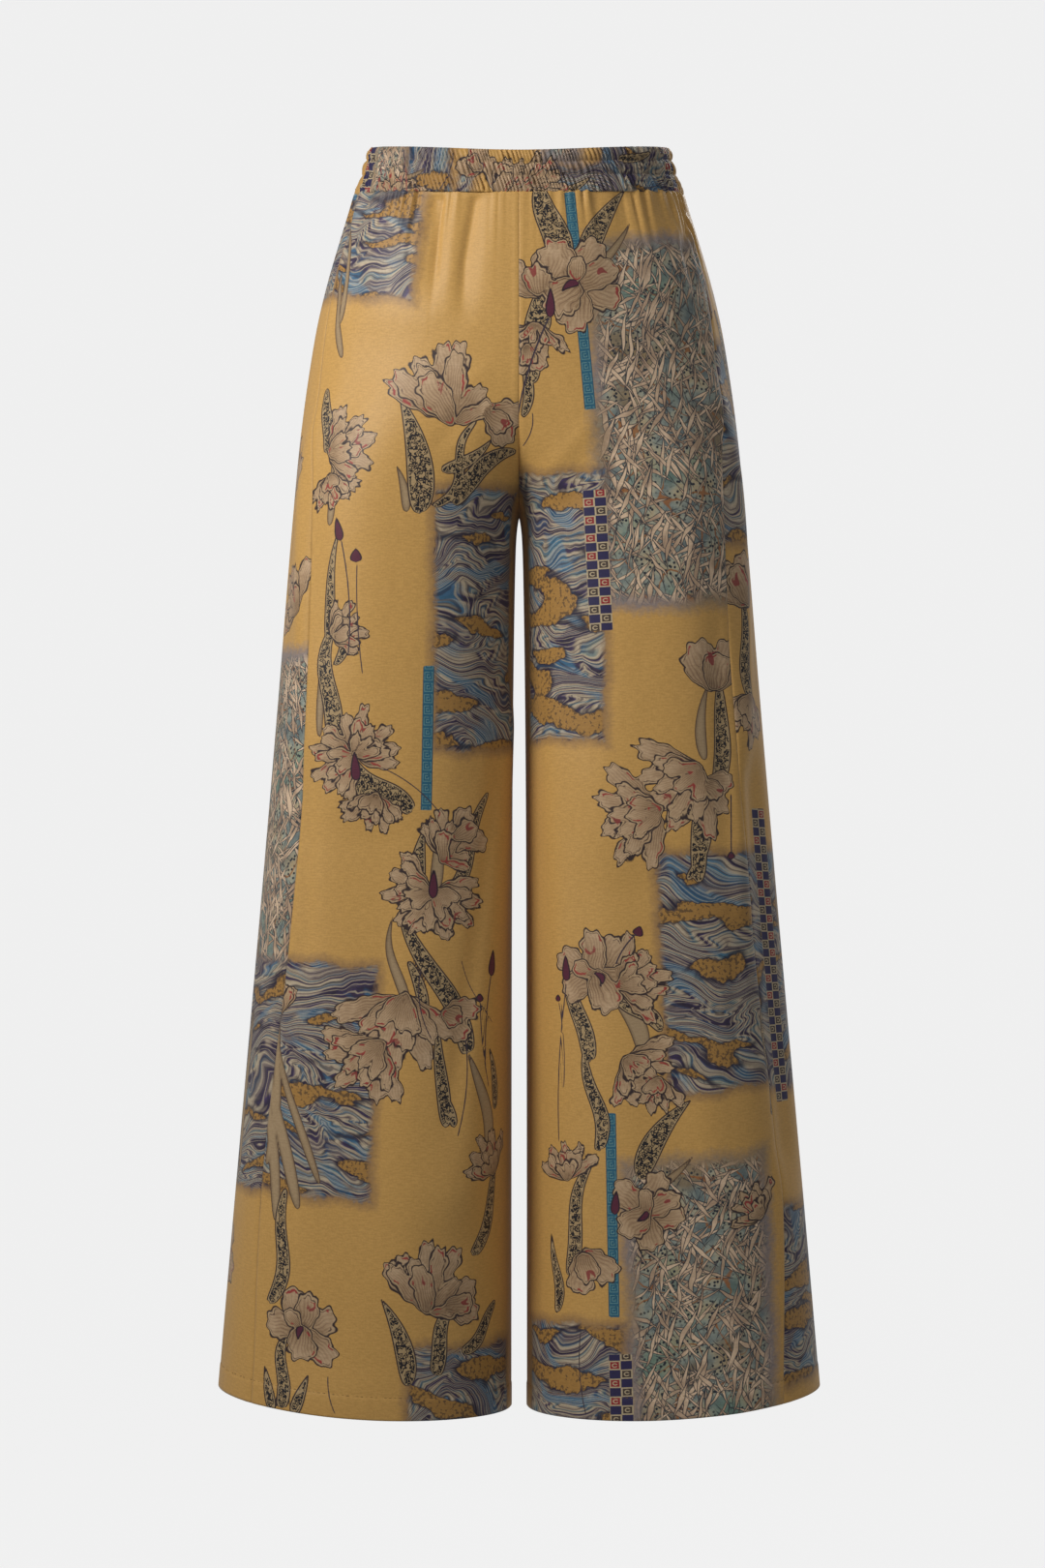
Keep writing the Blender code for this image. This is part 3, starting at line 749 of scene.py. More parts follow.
class Print:
    """One piece's print: signed distances at its points, above 0 inside a motif."""

    def __init__(self, along, drop, seed):
        self.along = along
        self.drop = drop
        self.seed = seed
        self.random = random.Random(seed)
        self.layers = {name: np.full(len(along), -FAR) for name in SHAPE_LAYERS}
        self.details = {name: np.full(len(along), away) for name, away in DETAILS.items()}
        self.nearest_strip = np.full(len(along), -FAR)
        self.nearest_thread = np.full(len(along), -FAR)

    def near(self, along, drop, reach):
        """The points within reach of a place."""
        close = (np.abs(self.along - along) < reach) & (np.abs(self.drop - drop) < reach)
        return np.nonzero(close)[0]

    def local(self, points, along, drop, turn):
        """Distances up and to the right of a place, turned clockwise."""
        right = self.along[points] - along
        up = drop - self.drop[points]
        sine = math.sin(turn * DEGREE)
        cosine = math.cos(turn * DEGREE)
        return right * sine + up * cosine, right * cosine - up * sine

    def add(self, layer, points, inside):
        """Joins a shape to its layer."""
        held = self.layers[layer]
        held[points] = np.maximum(held[points], np.clip(inside, -FAR, FAR))

    def keep(self, points, **details):
        """Notes details at some points."""
        for name, values in details.items():
            self.details[name][points] = values

    def patch(self, layer, left, right, top, foot, lean):
        """A block of waves or bamboo with a wavering edge."""
        up, out = self.local(slice(None), (left + right) / 2, (top + foot) / 2, lean)
        shift = self.random.uniform(0, 6)
        side = (right - left) / 2 - np.abs(out) + PATCH_WAVER * sway(up, shift, SIDE_WAVER) / 2
        end = (foot - top) / 2 - np.abs(up) + PATCH_WAVER * sway(out, shift, END_WAVER)
        self.add(layer, slice(None), np.minimum(side, end))

    def strip(self, layer, out, drop, width, length, lean):
        """A straight strip of checks or of a key pattern."""
        up, right = self.local(slice(None), out, drop, lean)
        inside = np.minimum(width / 2 - np.abs(right), length / 2 - np.abs(up))
        nearest = inside > self.nearest_strip
        self.nearest_strip = np.where(nearest, inside, self.nearest_strip)
        self.keep(nearest, strip_across=right[nearest], strip_along=up[nearest])
        self.add(layer, slice(None), inside)

    def petal(self, layer, along, drop, turn, length, width, lobes, ruffle):
        """A ruffled oval that grows from a point."""
        points = self.near(along, drop, PETAL_REACH * length)
        up, right = self.local(points, along, drop, turn)
        height = 2 * up / length - 1
        across = 2 * right / (width * (1 + PETAL_EGG * np.clip(height, -1, 1)))
        reach = np.hypot(height, across)
        angle = np.arctan2(across, height)
        shift = self.random.uniform(0, 6)
        wave = sum(height_of * np.abs(np.cos(rate * lobes * angle + times * shift))
                   for height_of, rate, times in PETAL_LOBES) - LOBE_LEVEL
        edge = 1 + ruffle * wave * (TIP_RUFFLE + np.cos(angle)) / (TIP_RUFFLE + 1)
        slope = np.hypot(2 * height / length, 2 * across / width)
        inside = (edge - reach) * reach / np.maximum(slope, 1.0)
        over = (inside > -PETAL_RIM) & (inside > self.layers[layer][points])
        self.keep(points[over], vein_across=across[over], vein_along=(height[over] + 1) / 2)
        self.add(layer, points, inside)

    def blade(self, layer, out, drop, turn, length, width, bend, sway=0.0):
        """A bent blade, pointed at both ends, or a swaying stem with blunt ends."""
        points = self.near(out, drop, BLADE_REACH * length)
        up, right = self.local(points, out, drop, turn)
        part = np.clip(up / length, 0, 1)
        side = right - bend * 4 * part * (1 - part) - sway * np.sin(2 * np.pi * part)
        beyond = up - part * length
        taper = STEM_TAPER if layer == "stem" else BLADE_TAPER
        half = width / 2 * np.sin(np.pi * part ** BLADE_BELLY) ** taper
        self.add("speckle" if layer == "stem" else layer, points, half - np.hypot(side, beyond))

    def thread(self, out, drop, turn, length, bend, width):
        """A bent line, kept as the distance to one side and the width it has there."""
        points = self.near(out, drop, BLADE_REACH * length)
        up, right = self.local(points, out, drop, turn)
        part = up / length
        bow = np.clip(part, 0, 1)
        side = right - bend * 4 * bow * (1 - bow)
        drawn = np.minimum(ease(part * THREAD_ENDS + 0.5), ease((1 - part) * THREAD_ENDS + 0.5))
        score = width * drawn - np.abs(side) - (1 - drawn) * 0.01
        chosen = score > self.nearest_thread[points]
        points = points[chosen]
        side = side[chosen]
        drawn = drawn[chosen]
        self.nearest_thread[points] = score[chosen]
        fading = THREAD_FADES * np.abs(side) + (1 - drawn) * THREAD_TIP
        self.keep(points, thread_side=side, thread_width=width * drawn - fading)

    def bloom(self, flower, out, drop, turn, height):
        """A flower of petal rings, with its accents."""
        for ring in rows_of(FLOWER_COLUMNS, FLOWER_RINGS):
            if ring["flower"] != flower:
                continue
            up = ring["along"] * height
            base_out = out + up * math.sin(turn * DEGREE)
            base_drop = drop - up * math.cos(turn * DEGREE)
            for number in range(ring["count"]):
                stray = TURN_SPREAD * self.random.uniform(-1, 1)
                lean = turn + ring["first_turn"] + ring["turn_step"] * number + stray
                stretch = 1 + LENGTH_SPREAD * self.random.uniform(-1, 1)
                length = ring["length"] * height * stretch
                width = ring["width"] * height
                place = (ring["layer"], base_out, base_drop, lean, length, width)
                if ring["layer"].startswith("petal"):
                    self.petal(*place, ring["lobes"], ring["ruffle"])
                else:
                    self.blade(*place, width * self.random.uniform(-1, 1))

    def attributes(self, squeeze=1.0):
        """All that the material reads, by name, with its cloth squeezed if it is gathered."""
        flat = np.zeros_like(self.along)
        lower = self.drop + self.seed * PRINT_SHIFT
        cloth = np.stack([self.along * squeeze, lower, flat], axis=-1)
        return {"cloth": cloth, **self.layers, **self.details}


# ---------------------------------------------------------------------------------------------
# Making pieces
# ---------------------------------------------------------------------------------------------

CELLS = {"front": 0.00155, "back": 0.0020}      # spacing of the mesh points on the panels
BAND_CELL = 0.00075
SPANS = {"front": 0.221, "back": 0.360}         # widths that set how many cells a panel has
BAND_SPAN = 0.275
BAND_FACE_ROWS = 42
BAND_TOP_ROWS = 7
BAND_INSIDE_ROWS = 16
BAND_SQUEEZE = 1.6      # the elastic draws the fine pattern together by this much
STITCH_LIFT = 0.00012
RUCHE_STRETCH = 1.25    # the puckers are counted on a band this much longer
RUCHE_DRIFT = ((0.8, 61, 1), (0.5, 157, 2))
RUCHE_UNEVEN = ((0.5, 223, 1), (0.3, 389, -1))
RUCHE_AT_STITCHES = 0.4 # share of the puckers' depth that is left at a stitch row
CHANNEL_SHIFT = 2.1     # sets each channel's puckers apart from the next one's
FACE_SHIFTS = {"front": 0.0, "back": 1.3}
CHANNEL_ROUNDNESS = 0.6
TOP_FULLNESS = 0.55     # the top channel's swell stays at least this to the edge
SETTLE_RELEASE = 0.75   # share of the drawing in that is gone at the seam
INSIDE_RELIEF = -0.4    # the inside shows the relief the other way round, and weaker
PLEAT_COLUMNS = ("out", "depth", "slant")
PLEATS = (
    (-0.086, 0.0010, 0.10),
    (-0.052, 0.0007, -0.12),
    (-0.028, 0.0008, 0.15),
    (0.012, 0.0011, 0.05),
    (0.046, 0.0012, -0.08),
    (0.060, 0.0010, 0.10),
    (0.075, 0.0012, -0.12),
    (0.112, 0.0011, 0.08),
)
PLEAT_WIDTH = 0.0013
PLEAT_RADIUS = 0.12     # turns an angle about the body to a distance along the band
LENGTHLESS = ("layer", "flower", "turn", "lean")    # columns that hold no millimetres


def new_piece(name, mesh, material):
    """An object for a finished mesh, riding the garment."""
    mesh.shade_smooth()
    mesh.materials.append(material)
    piece = bpy.data.objects.new(name, mesh)
    bpy.context.scene.collection.objects.link(piece)
    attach(piece, BODY)
    return piece


def cloth_grid(columns, rows):
    """A bmesh grid and, for each vertex, its column and row, counted from the left and the top."""
    work = bmesh.new()
    bmesh.ops.create_grid(work, x_segments=columns, y_segments=rows, size=0.5)
    column_of = np.array([round((vert.co.x + 0.5) * columns) for vert in work.verts])
    row_of = np.array([round((0.5 - vert.co.y) * rows) for vert in work.verts])
    return work, column_of, row_of


def finish_cloth(node, work, points, turn, attributes, material):
    """Puts a grid's vertices in place, keeps its attributes and makes the piece for a node."""
    mesh = bpy.data.meshes.new(node + "_cloth")
    if turn < 0:
        bmesh.ops.reverse_faces(work, faces=work.faces)
    work.to_mesh(mesh)
    work.free()
    mesh.vertices.foreach_set("co", points.astype(np.float32).ravel())
    for name, values in attributes.items():
        kind, field = ("FLOAT_VECTOR", "vector") if values.ndim == 2 else ("FLOAT", "value")
        attribute = mesh.attributes.new(name, kind, "POINT")
        attribute.data.foreach_set(field, values.astype(np.float32).ravel())
    mesh.update()
    piece = new_piece(node + "_cloth", mesh, material)
    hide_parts(node)
    return piece


def stitch_places(span, sizes):
    """How far across a piece the stitches of one row are."""
    count = int(span / (sizes.stitch_length + sizes.stitch_space))
    return (np.arange(count) + 0.5) / count


def make_stitches(name, spots, normals, sizes, material, slot):
    """A row of short raised stitches at the given spots, joined in one mesh."""
    single = bmesh.new()
    bmesh.ops.create_uvsphere(single, u_segments=6, v_segments=4, radius=1.0)
    shape = bpy.data.meshes.new("stitch_shape")
    single.to_mesh(shape)
    single.free()
    work = bmesh.new()
    thick = sizes.thread_thickness / 2
    long = sizes.stitch_length / 2
    for number, spot in enumerate(spots):
        ahead = spots[min(number + 1, len(spots) - 1)] - spots[max(number - 1, 0)]
        along = Vector(ahead).normalized()
        normal = Vector(normals[number])
        normal = (normal - along * normal.dot(along)).normalized()
        sideways = normal.cross(along)
        first = len(work.verts)
        work.from_mesh(shape)
        work.verts.ensure_lookup_table()
        turn = Matrix((sideways * thick, normal * thick, along * long)).transposed()
        placed = Matrix.Translation(Vector(spot) + normal * STITCH_LIFT) @ turn.to_4x4()
        bmesh.ops.transform(work, matrix=placed, verts=work.verts[first:])
    bmesh.ops.recalc_face_normals(work, faces=work.faces)
    mesh = bpy.data.meshes.new(name)
    work.to_mesh(mesh)
    work.free()
    bpy.data.meshes.remove(shape)
    piece = new_piece(name, mesh, material)
    return piece


def panel_surface(side, face, across, down, depth):
    """Points of a panel's cloth at a depth under its face, and its unit normals outwards."""
    turn = SIDE_SIGN[side] * FACE_TURN[face]

    def form(at_across, at_down):
        return oval_point(side, *panel_place(side, face, at_across, at_down))

    normal, point = unit_normals(form, across, down)
    angle, drop = panel_place(side, face, across, down)
    relief = panel_relief(side, across, down, angle, drop, SPANS[face])
    return point + turn * normal * (relief - depth)[:, None], turn * normal


def chosen_rows(table, side, lower, above):
    """A table's rows in metres on one side of the centre, or on both, above a drop, then lowered."""
    chosen = []
    for row in rows_of(*table):
        for name in row.keys() - set(LENGTHLESS):
            row[name] = row[name] * MM
        out = row["out"] if "out" in row else (row["left"] + row["right"]) / 2
        drop = row["drop"] if "drop" in row else (row["top"] + row["foot"]) / 2
        if out * SIDE_SIGN.get(side, 0.0) >= 0 and drop < above:
            for name in row.keys() & {"drop", "top", "foot"}:
                row[name] += lower
            chosen.append(row)
    return chosen


def lay_print(painted, tables, side=None, lower=0.0, above=math.inf):
    """Lays tables of patches, strips, blooms, blades and threads on a piece's print."""
    makers = (painted.patch, painted.strip, painted.bloom, painted.blade, painted.thread)
    for make, table in zip(makers, tables):
        for row in chosen_rows(table, side, lower, above):
            make(**row)


def panel_print(side, face, angle, drop, seed):
    """A panel's print."""
    along = SIDE_SIGN[side] * ClothChart(face).read(angle, drop)
    painted = Print(along, drop, seed)
    if face == "front":
        lay_print(painted, LEG_PRINT, side)
    else:
        lay_print(painted, LEG_PRINT, side, BACK_LOWER)
        lay_print(painted, LEG_PRINT, side, BACK_LOWER - REPEAT, above=REPEAT)
        lay_print(painted, SIDE_PRINT, side)
    return painted


def make_panel(side, face, sizes, material, thread_material, seed):
    """A panel of printed satin with its hem turned up inside, and its hem stitches."""
    length = INSIDE_DROP - BAND_HEIGHT
    columns = round(SPANS[face] / CELLS[face])
    rows = round(length / CELLS[face])
    hem_rows = round(HEM_TURN / CELLS[face])
    work, column_of, row_of = cloth_grid(columns + 2, rows + hem_rows + 3)

    across = np.clip((column_of - 1) / columns, 0, 1)
    down = np.clip((row_of - 1) / rows, 0, 1)
    turned_up = row_of - rows - 2
    down = np.where(turned_up > 0, 1 - turned_up / hem_rows * HEM_TURN / length, down)
    depth = np.where(turned_up >= 0, SHEET, 0.0)
    edge = (column_of == 0) | (column_of == columns + 2) | (row_of == 0)
    depth = depth + np.where(edge, EDGE_TURN, 0.0)

    points, _ = panel_surface(side, face, across, down, depth)
    angle, drop = panel_place(side, face, across, down)
    top = row_of == 0
    points[top] = oval_point(side, angle[top], drop[top]) * BAND_TUCK + BAND_TUCK_LIFT
    attributes = panel_print(side, face, angle, drop, seed).attributes()
    name = face + "_" + side
    turn = SIDE_SIGN[side] * FACE_TURN[face]
    panel = finish_cloth(name, work, points, turn, attributes, material)

    at = stitch_places(SPANS[face], sizes)
    hem_line = panel_surface(side, face, at, np.full(len(at), 1 - HEM_TURN / length), 0.0)
    stitches = make_stitches(name + "_hem_stitches", *hem_line, sizes, thread_material,
                             "panel_satin")
    return panel, stitches


def band_angles(face, across, drop):
    """Angle about the body on a band piece, from the left side seam to the right one."""
    half_lap = EDGE_LAP / 2 / size_at("front_depth", drop)
    if face == "front":
        left_end = np.pi - seam_angle("left", drop) + half_lap
        right_end = seam_angle("right", drop) - half_lap
    else:
        left_end = -np.pi - seam_angle("left", drop) - half_lap
        right_end = seam_angle("right", drop) + half_lap
    angle = left_end + (right_end - left_end) * across
    return np.where(angle < -np.pi, angle + 2 * np.pi, angle)


def band_relief(face, angle, drop, depth):
    """How far the band's cloth stands off its oval: elastic channels, fine puckers and pleats."""
    edges = np.array(BAND_CHANNELS)
    channel = np.clip(np.searchsorted(edges, drop, side="right") - 1, 0, len(edges) - 2)
    part = np.clip((drop - edges[channel]) / (edges[channel + 1] - edges[channel]), 0, 1)
    swell = np.maximum(np.sin(np.pi * part), 0) ** CHANNEL_ROUNDNESS
    top = (channel == 0) & (part < 0.5)
    swell = np.where(top, np.maximum(swell, TOP_FULLNESS), swell)
    along = angle * size_at("front_depth", drop) * RUCHE_STRETCH
    shift = channel * CHANNEL_SHIFT + FACE_SHIFTS[face]
    phase = 2 * np.pi * (along / RUCHE_PITCH + sway(along, shift, RUCHE_DRIFT))
    ridge = np.cos(phase) + 0.3 * np.cos(1.9 * phase + 1)
    shallower = RUCHE_AT_STITCHES + (1 - RUCHE_AT_STITCHES) * swell
    height = RUCHE_DEPTH * (1 + sway(along, shift, RUCHE_UNEVEN)) * shallower
    seam_near = ease((drop - BAND_HEIGHT) / SETTLE_ENDS + 1)
    relief = BAND_BULGE * swell + height * ridge
    relief = relief - BAND_SETTLE * (1 - SETTLE_RELEASE * seam_near)
    lowest = channel == len(edges) - 2
    for row in rows_of(PLEAT_COLUMNS, PLEATS):
        place = angle_at(np.array([abs(row["out"])]), np.array([BAND_HEIGHT]), face)[0]
        if row["out"] < 0:
            place = (np.pi if face == "front" else -np.pi) - place
        away = (angle - place) * PLEAT_RADIUS - row["slant"] * (drop - BAND_HEIGHT)
        groove = row["depth"] * np.exp(-(away / PLEAT_WIDTH) ** 2)
        relief = relief - np.where(lowest, groove * ease(part * 2.5), 0.0)
    return relief * np.where(depth > BAND_WALL / 2, INSIDE_RELIEF, 1.0)


def band_surface(face, across, drop, depth):
    """Points of a band piece at a depth under its face, and its unit normals outwards."""
    turn = -FACE_TURN[face]

    def form(at_across, at_down):
        at_drop = at_down * BAND_HEIGHT
        return oval_point("right", band_angles(face, at_across, at_drop), at_drop)

    normal, point = unit_normals(form, across, drop / BAND_HEIGHT)
    relief = band_relief(face, band_angles(face, across, drop), drop, depth)
    return point + turn * normal * (relief - depth)[:, None], turn * normal


def make_band(face, sizes, material, thread_material, seed):
    """Half of the waistband: satin folded over its elastic, with two stitch rows round it."""
    columns = round(BAND_SPAN / BAND_CELL)
    rows = BAND_FACE_ROWS + BAND_TOP_ROWS + BAND_INSIDE_ROWS + 2
    work, column_of, row_of = cloth_grid(columns + 2, rows)
    across = np.clip((column_of - 1) / columns, 0, 1)
    fold = BAND_WALL / 2

    going_up = np.clip((row_of - 1) / BAND_FACE_ROWS, 0, 1)
    over = np.clip((row_of - 1 - BAND_FACE_ROWS) / (BAND_TOP_ROWS + 1), 0, 1) * np.pi
    coming_down = np.clip((row_of - 2 - BAND_FACE_ROWS - BAND_TOP_ROWS) / BAND_INSIDE_ROWS, 0, 1)
    drop = BAND_HEIGHT + (fold - BAND_HEIGHT) * going_up - fold * np.sin(over)
    drop = drop + (BAND_HEIGHT - fold) * coming_down
    depth = fold * (1 - np.cos(over))
    edge = (row_of == 0) | (column_of == 0) | (column_of == columns + 2)
    depth = np.where(edge, np.maximum(depth, EDGE_TURN), depth)

    points, _ = band_surface(face, across, drop, depth)
    angle = band_angles(face, across, drop)
    half = np.pi / 2 if face == "front" else -np.pi / 2
    on_right = np.abs(angle) < np.pi / 2
    folded = np.where(on_right, angle, 2 * half - angle)
    along = np.where(on_right, 1.0, -1.0) * ClothChart(face).read(folded, drop)
    painted = Print(along, drop, seed)
    lay_print(painted, BAND_PRINT)
    name = "waistband_" + face
    band = finish_cloth(name, work, points, FACE_TURN[face], painted.attributes(BAND_SQUEEZE),
                        material)

    at = stitch_places(BAND_SPAN, sizes)
    rows_made = []
    for number, row_drop in enumerate(BAND_CHANNELS[1:-1], 1):
        line = band_surface(face, at, np.full(len(at), row_drop), np.zeros(len(at)))
        rows_made.append(make_stitches(name + "_stitches_" + str(number), *line, sizes,
                                       thread_material, "band_satin"))
    return band, rows_made


# ---------------------------------------------------------------------------------------------
# Finishes
# ---------------------------------------------------------------------------------------------

SOFT_EDGE = 0.0005      # width over which a printed edge turns from one ink to the next
OUTLINE = 0.00055       # half width of a drawn outline

INKS = {
    "violet": "#3c2f50", "clear blue": "#3f82a6", "fine dark": "#2e283c", "fine pale": "#c6b89c",
    "island rim": "#261f32", "island dulled": "#d6cfc4", "island dots": "#43342a",
    "wave halo": "#5c4a4c", "halo warm": "#94806a", "halo cool": "#807c84",
    "moss": "#648a74", "earth": "#86673c", "slate dots": "#242b36", "twig": "#9a6234",
    "leaf dull": "#b69a80", "leaf pale": "#e0c4a6", "leaf shadow": "#2e323c",
    "check brown": "#473a33", "check red": "#93262c", "check pale": "#c0ae8e",
    "indigo": "#2b2650", "indigo edge": "#a99878",
    "teal": "#2a637c", "key": "#6a9698", "teal edge": "#1d4256",
    "vein": "#6a5040", "glint": "#d6bc9a", "petal rim": "#c2a67e", "petal line": "#4c382e",
    "petal touch": "#a03a36", "curl ground": "#b0966e", "curl": "#201c20", "stem": "#bfa57c",
    "blade dull": "#8f785a", "blade pale": "#ab9270", "blade ink": "#574234", "ink": "#382a2a",
    "red": "#8e3434", "plum": "#5a2238", "plum ink": "#2a1a26", "thread": "#3f3440"}
WAVE_STOPS = (
    (0.00, "#281f34"), (0.05, "#42345a"), (0.10, "#9a8b78"), (0.17, "#c2b198"), (0.21, "#8c7e6e"),
    (0.25, "#44667e"), (0.30, "#869088"), (0.36, "#c0ae96"), (0.43, "#9c8d7c"), (0.47, "#30263e"),
    (0.53, "#463660"), (0.57, "#9c8c7a"), (0.65, "#c8b69c"), (0.70, "#625f5a"), (0.74, "#3c6284"),
    (0.79, "#94948c"), (0.87, "#beac94"), (0.92, "#433550"), (1.00, "#281f34"))
SLATE_STOPS = ((0.34, "#6c7878"), (0.46, "#90988f"), (0.56, "#a8a692"), (0.68, "#b6a686"))
PETAL_STOPS = ((0.20, "#7c6248"), (0.45, "#9e805f"), (0.70, "#b39472"), (0.95, "#c4a684"))
SLUB_STOPS = ((0.35, "#e2dfd8"), (0.65, "#ffffff"))

WAVE_HEIGHT = 0.021     # of one run of stripes
WAVE_LINE = 0.0026      # from one fine line to the next
BAMBOO_LEANS = (        # each layer of leaves: its lean, and the width and length of a leaf's cell
    (-66, 0.0074, 0.070), (36, 0.0066, 0.080), (-24, 0.0074, 0.074), (62, 0.0068, 0.068),
    (8, 0.0076, 0.084), (-42, 0.0066, 0.074), (21, 0.0080, 0.066))
CHECK_WIDE = 0.0094
CHECK_TALL = 0.0070
RED_CHECKS_FROM = 0.72  # a check whose chance is above this is red
KEY_CELL = 0.0088


def shade(code):
    """A colour of the scene from an ink's name or a web colour."""
    code = INKS.get(code, code)
    parts = [int(code[place:place + 2], 16) / 255 for place in (1, 3, 5)]
    linear = [part / 12.92 if part <= 0.04045 else ((part + 0.055) / 1.055) ** 2.4 for part in parts]
    return (*linear, 1.0)


def maths(operation, reflected=False):
    """A method that puts a value and another through a Math node, the other first if reflected."""

    def method(self, other):
        pair = (other, self) if reflected else (self, other)
        return self.work(operation, *pair)

    return method


class Value:
    """A number that varies over a surface. Python's own operators work on it."""

    __add__ = __radd__ = maths("ADD")
    __sub__ = maths("SUBTRACT")
    __rsub__ = maths("SUBTRACT", reflected=True)
    __mul__ = __rmul__ = maths("MULTIPLY")
    __lt__ = maths("LESS_THAN")
    __gt__ = maths("GREATER_THAN")
    most = maths("MAXIMUM")

    def __init__(self, finish, socket):
        self.finish = finish
        self.socket = socket

    def work(self, operation, *numbers, clamp=False):
        """A Math node on the given numbers."""
        settings = {"operation": operation, "use_clamp": clamp}
        node = self.finish.node("ShaderNodeMath", settings, dict(enumerate(numbers)))
        return Value(self.finish, node.outputs[0])

    def __abs__(self):
        return self.work("ABSOLUTE", self)

    def fraction(self):
        """What is left of it above the whole number below."""
        return self.work("FRACT", self)

    def rise(self, start, end):
        """0 up to start, 1 from end on, and straight between."""
        slope = 1 / (end - start)
        return self.work("MULTIPLY_ADD", self, slope, -start * slope, clamp=True)

    def inside(self):
        """Whether a place is inside a shape, with a soft edge."""
        return self.rise(-SOFT_EDGE / 2, SOFT_EDGE / 2)


class Finish:
    """A material and its nodes."""

    def __init__(self, name):
        self.material = bpy.data.materials.new(name)
        self.material.use_nodes = True
        self.tree = self.material.node_tree
        self.shader = self.tree.nodes["Principled BSDF"]

    def node(self, kind, settings=None, sockets=None):
        """A new node, with its settings, then the values or links of its sockets."""
        made = self.tree.nodes.new(kind)
        for name, value in (settings or {}).items():
            if name == "stops":
                self.set_stops(made.color_ramp, value)
            else:
                setattr(made, name, value)
        for name, value in (sockets or {}).items():
            self.join(value, made.inputs[name])
        return made

    def set_stops(self, ramp, stops):
        """A ramp's stops, as places and colours."""
        ramp.interpolation = "LINEAR"
        while len(ramp.elements) < len(stops):
            ramp.elements.new(1.0)
        for element, (place, colour) in zip(ramp.elements, stops):
            element.position = place
            element.color = shade(colour) if isinstance(colour, str) else colour

    def join(self, value, socket):
        """Links a value or a node's output to a socket, or sets a number or a colour there."""
        source = value.socket if isinstance(value, Value) else value
        if isinstance(source, bpy.types.NodeSocket):
            self.tree.links.new(source, socket)
        else:
            socket.default_value = shade(source) if isinstance(source, str) else source

    def surface(self, sockets):
        """Gives the shader its numbers, colours and links, and hands over the material."""
        for name, value in sockets.items():
            self.join(value, self.shader.inputs[name])
        return self.material

    def attribute(self, name):
        """A number kept on the mesh."""
        node = self.node("ShaderNodeAttribute", {"attribute_name": name})
        return Value(self, node.outputs["Fac"])

    def place(self, name):
        """A place kept on the mesh."""
        return self.node("ShaderNodeAttribute", {"attribute_name": name}).outputs["Vector"]

    def grain(self, scale):
        """Noise all through the object."""
        place = self.node("ShaderNodeTexCoord").outputs["Object"]
        made = self.node("ShaderNodeTexNoise", None, {"Vector": place, "Scale": scale})
        return Value(self, made.outputs["Fac"])

    def noise(self, place, scale, detail, output="Fac"):
        """Flat noise at a place."""
        settings = {"noise_dimensions": "2D"}
        sockets = {"Vector": place, "Scale": scale, "Detail": detail}
        made = self.node("ShaderNodeTexNoise", settings, sockets).outputs[output]
        return Value(self, made) if output == "Fac" else made

    def strayed(self, place, scale, amount):
        """A place moved about by noise."""
        wander = self.noise(place, scale, 2.0, "Color")
        sockets = {0: wander, 1: (amount, amount, 0.0), 2: place}
        return self.node("ShaderNodeVectorMath", {"operation": "MULTIPLY_ADD"}, sockets).outputs[0]

    def stretched(self, place, turn, width, length):
        """A place turned, then measured in cells of a width and a length."""
        settings = {"vector_type": "TEXTURE"}
        sockets = {"Vector": place, "Rotation": (0, 0, turn * DEGREE), "Scale": (width, length, 1)}
        return self.node("ShaderNodeMapping", settings, sockets).outputs[0]

    def spots(self, place, scale, metric="EUCLIDEAN"):
        """Distance to the nearest of scattered points."""
        settings = {"voronoi_dimensions": "2D", "distance": metric}
        made = self.node("ShaderNodeTexVoronoi", settings, {"Vector": place, "Scale": scale})
        return Value(self, made.outputs["Distance"])

    def ramp(self, value, stops):
        """A colour from a number."""
        return self.node("ShaderNodeValToRGB", {"stops": stops}, {0: value}).outputs[0]

    def mixed(self, under, over, mask, blend):
        """Two colours blended where the mask says."""
        settings = {"data_type": "RGBA", "blend_type": blend}
        return self.node("ShaderNodeMix", settings, {0: mask, 6: under, 7: over}).outputs[2]

    def paint(self, colour, *coats):
        """A colour with coats over it, each another colour and where it goes."""
        for over, mask in coats:
            colour = self.mixed(colour, over, mask, "MIX")
        return colour

    def tinted(self, colour, tint, amount):
        """A colour multiplied by a tint."""
        return self.mixed(colour, tint, amount, "MULTIPLY")

    def outlined(self, colour, field, ink, half_width=OUTLINE):
        """Ink along a shape's edge."""
        line = abs(field) - half_width
        return self.paint(colour, (ink, line.rise(SOFT_EDGE / 2, -SOFT_EDGE / 2)))

    def bump(self, height, distance, strength, under=None):
        """Relief on the surface's own normal, or over another relief."""
        sockets = {"Height": height, "Distance": distance, "Strength": strength}
        if under is not None:
            sockets["Normal"] = under
        return self.node("ShaderNodeBump", None, sockets).outputs["Normal"]


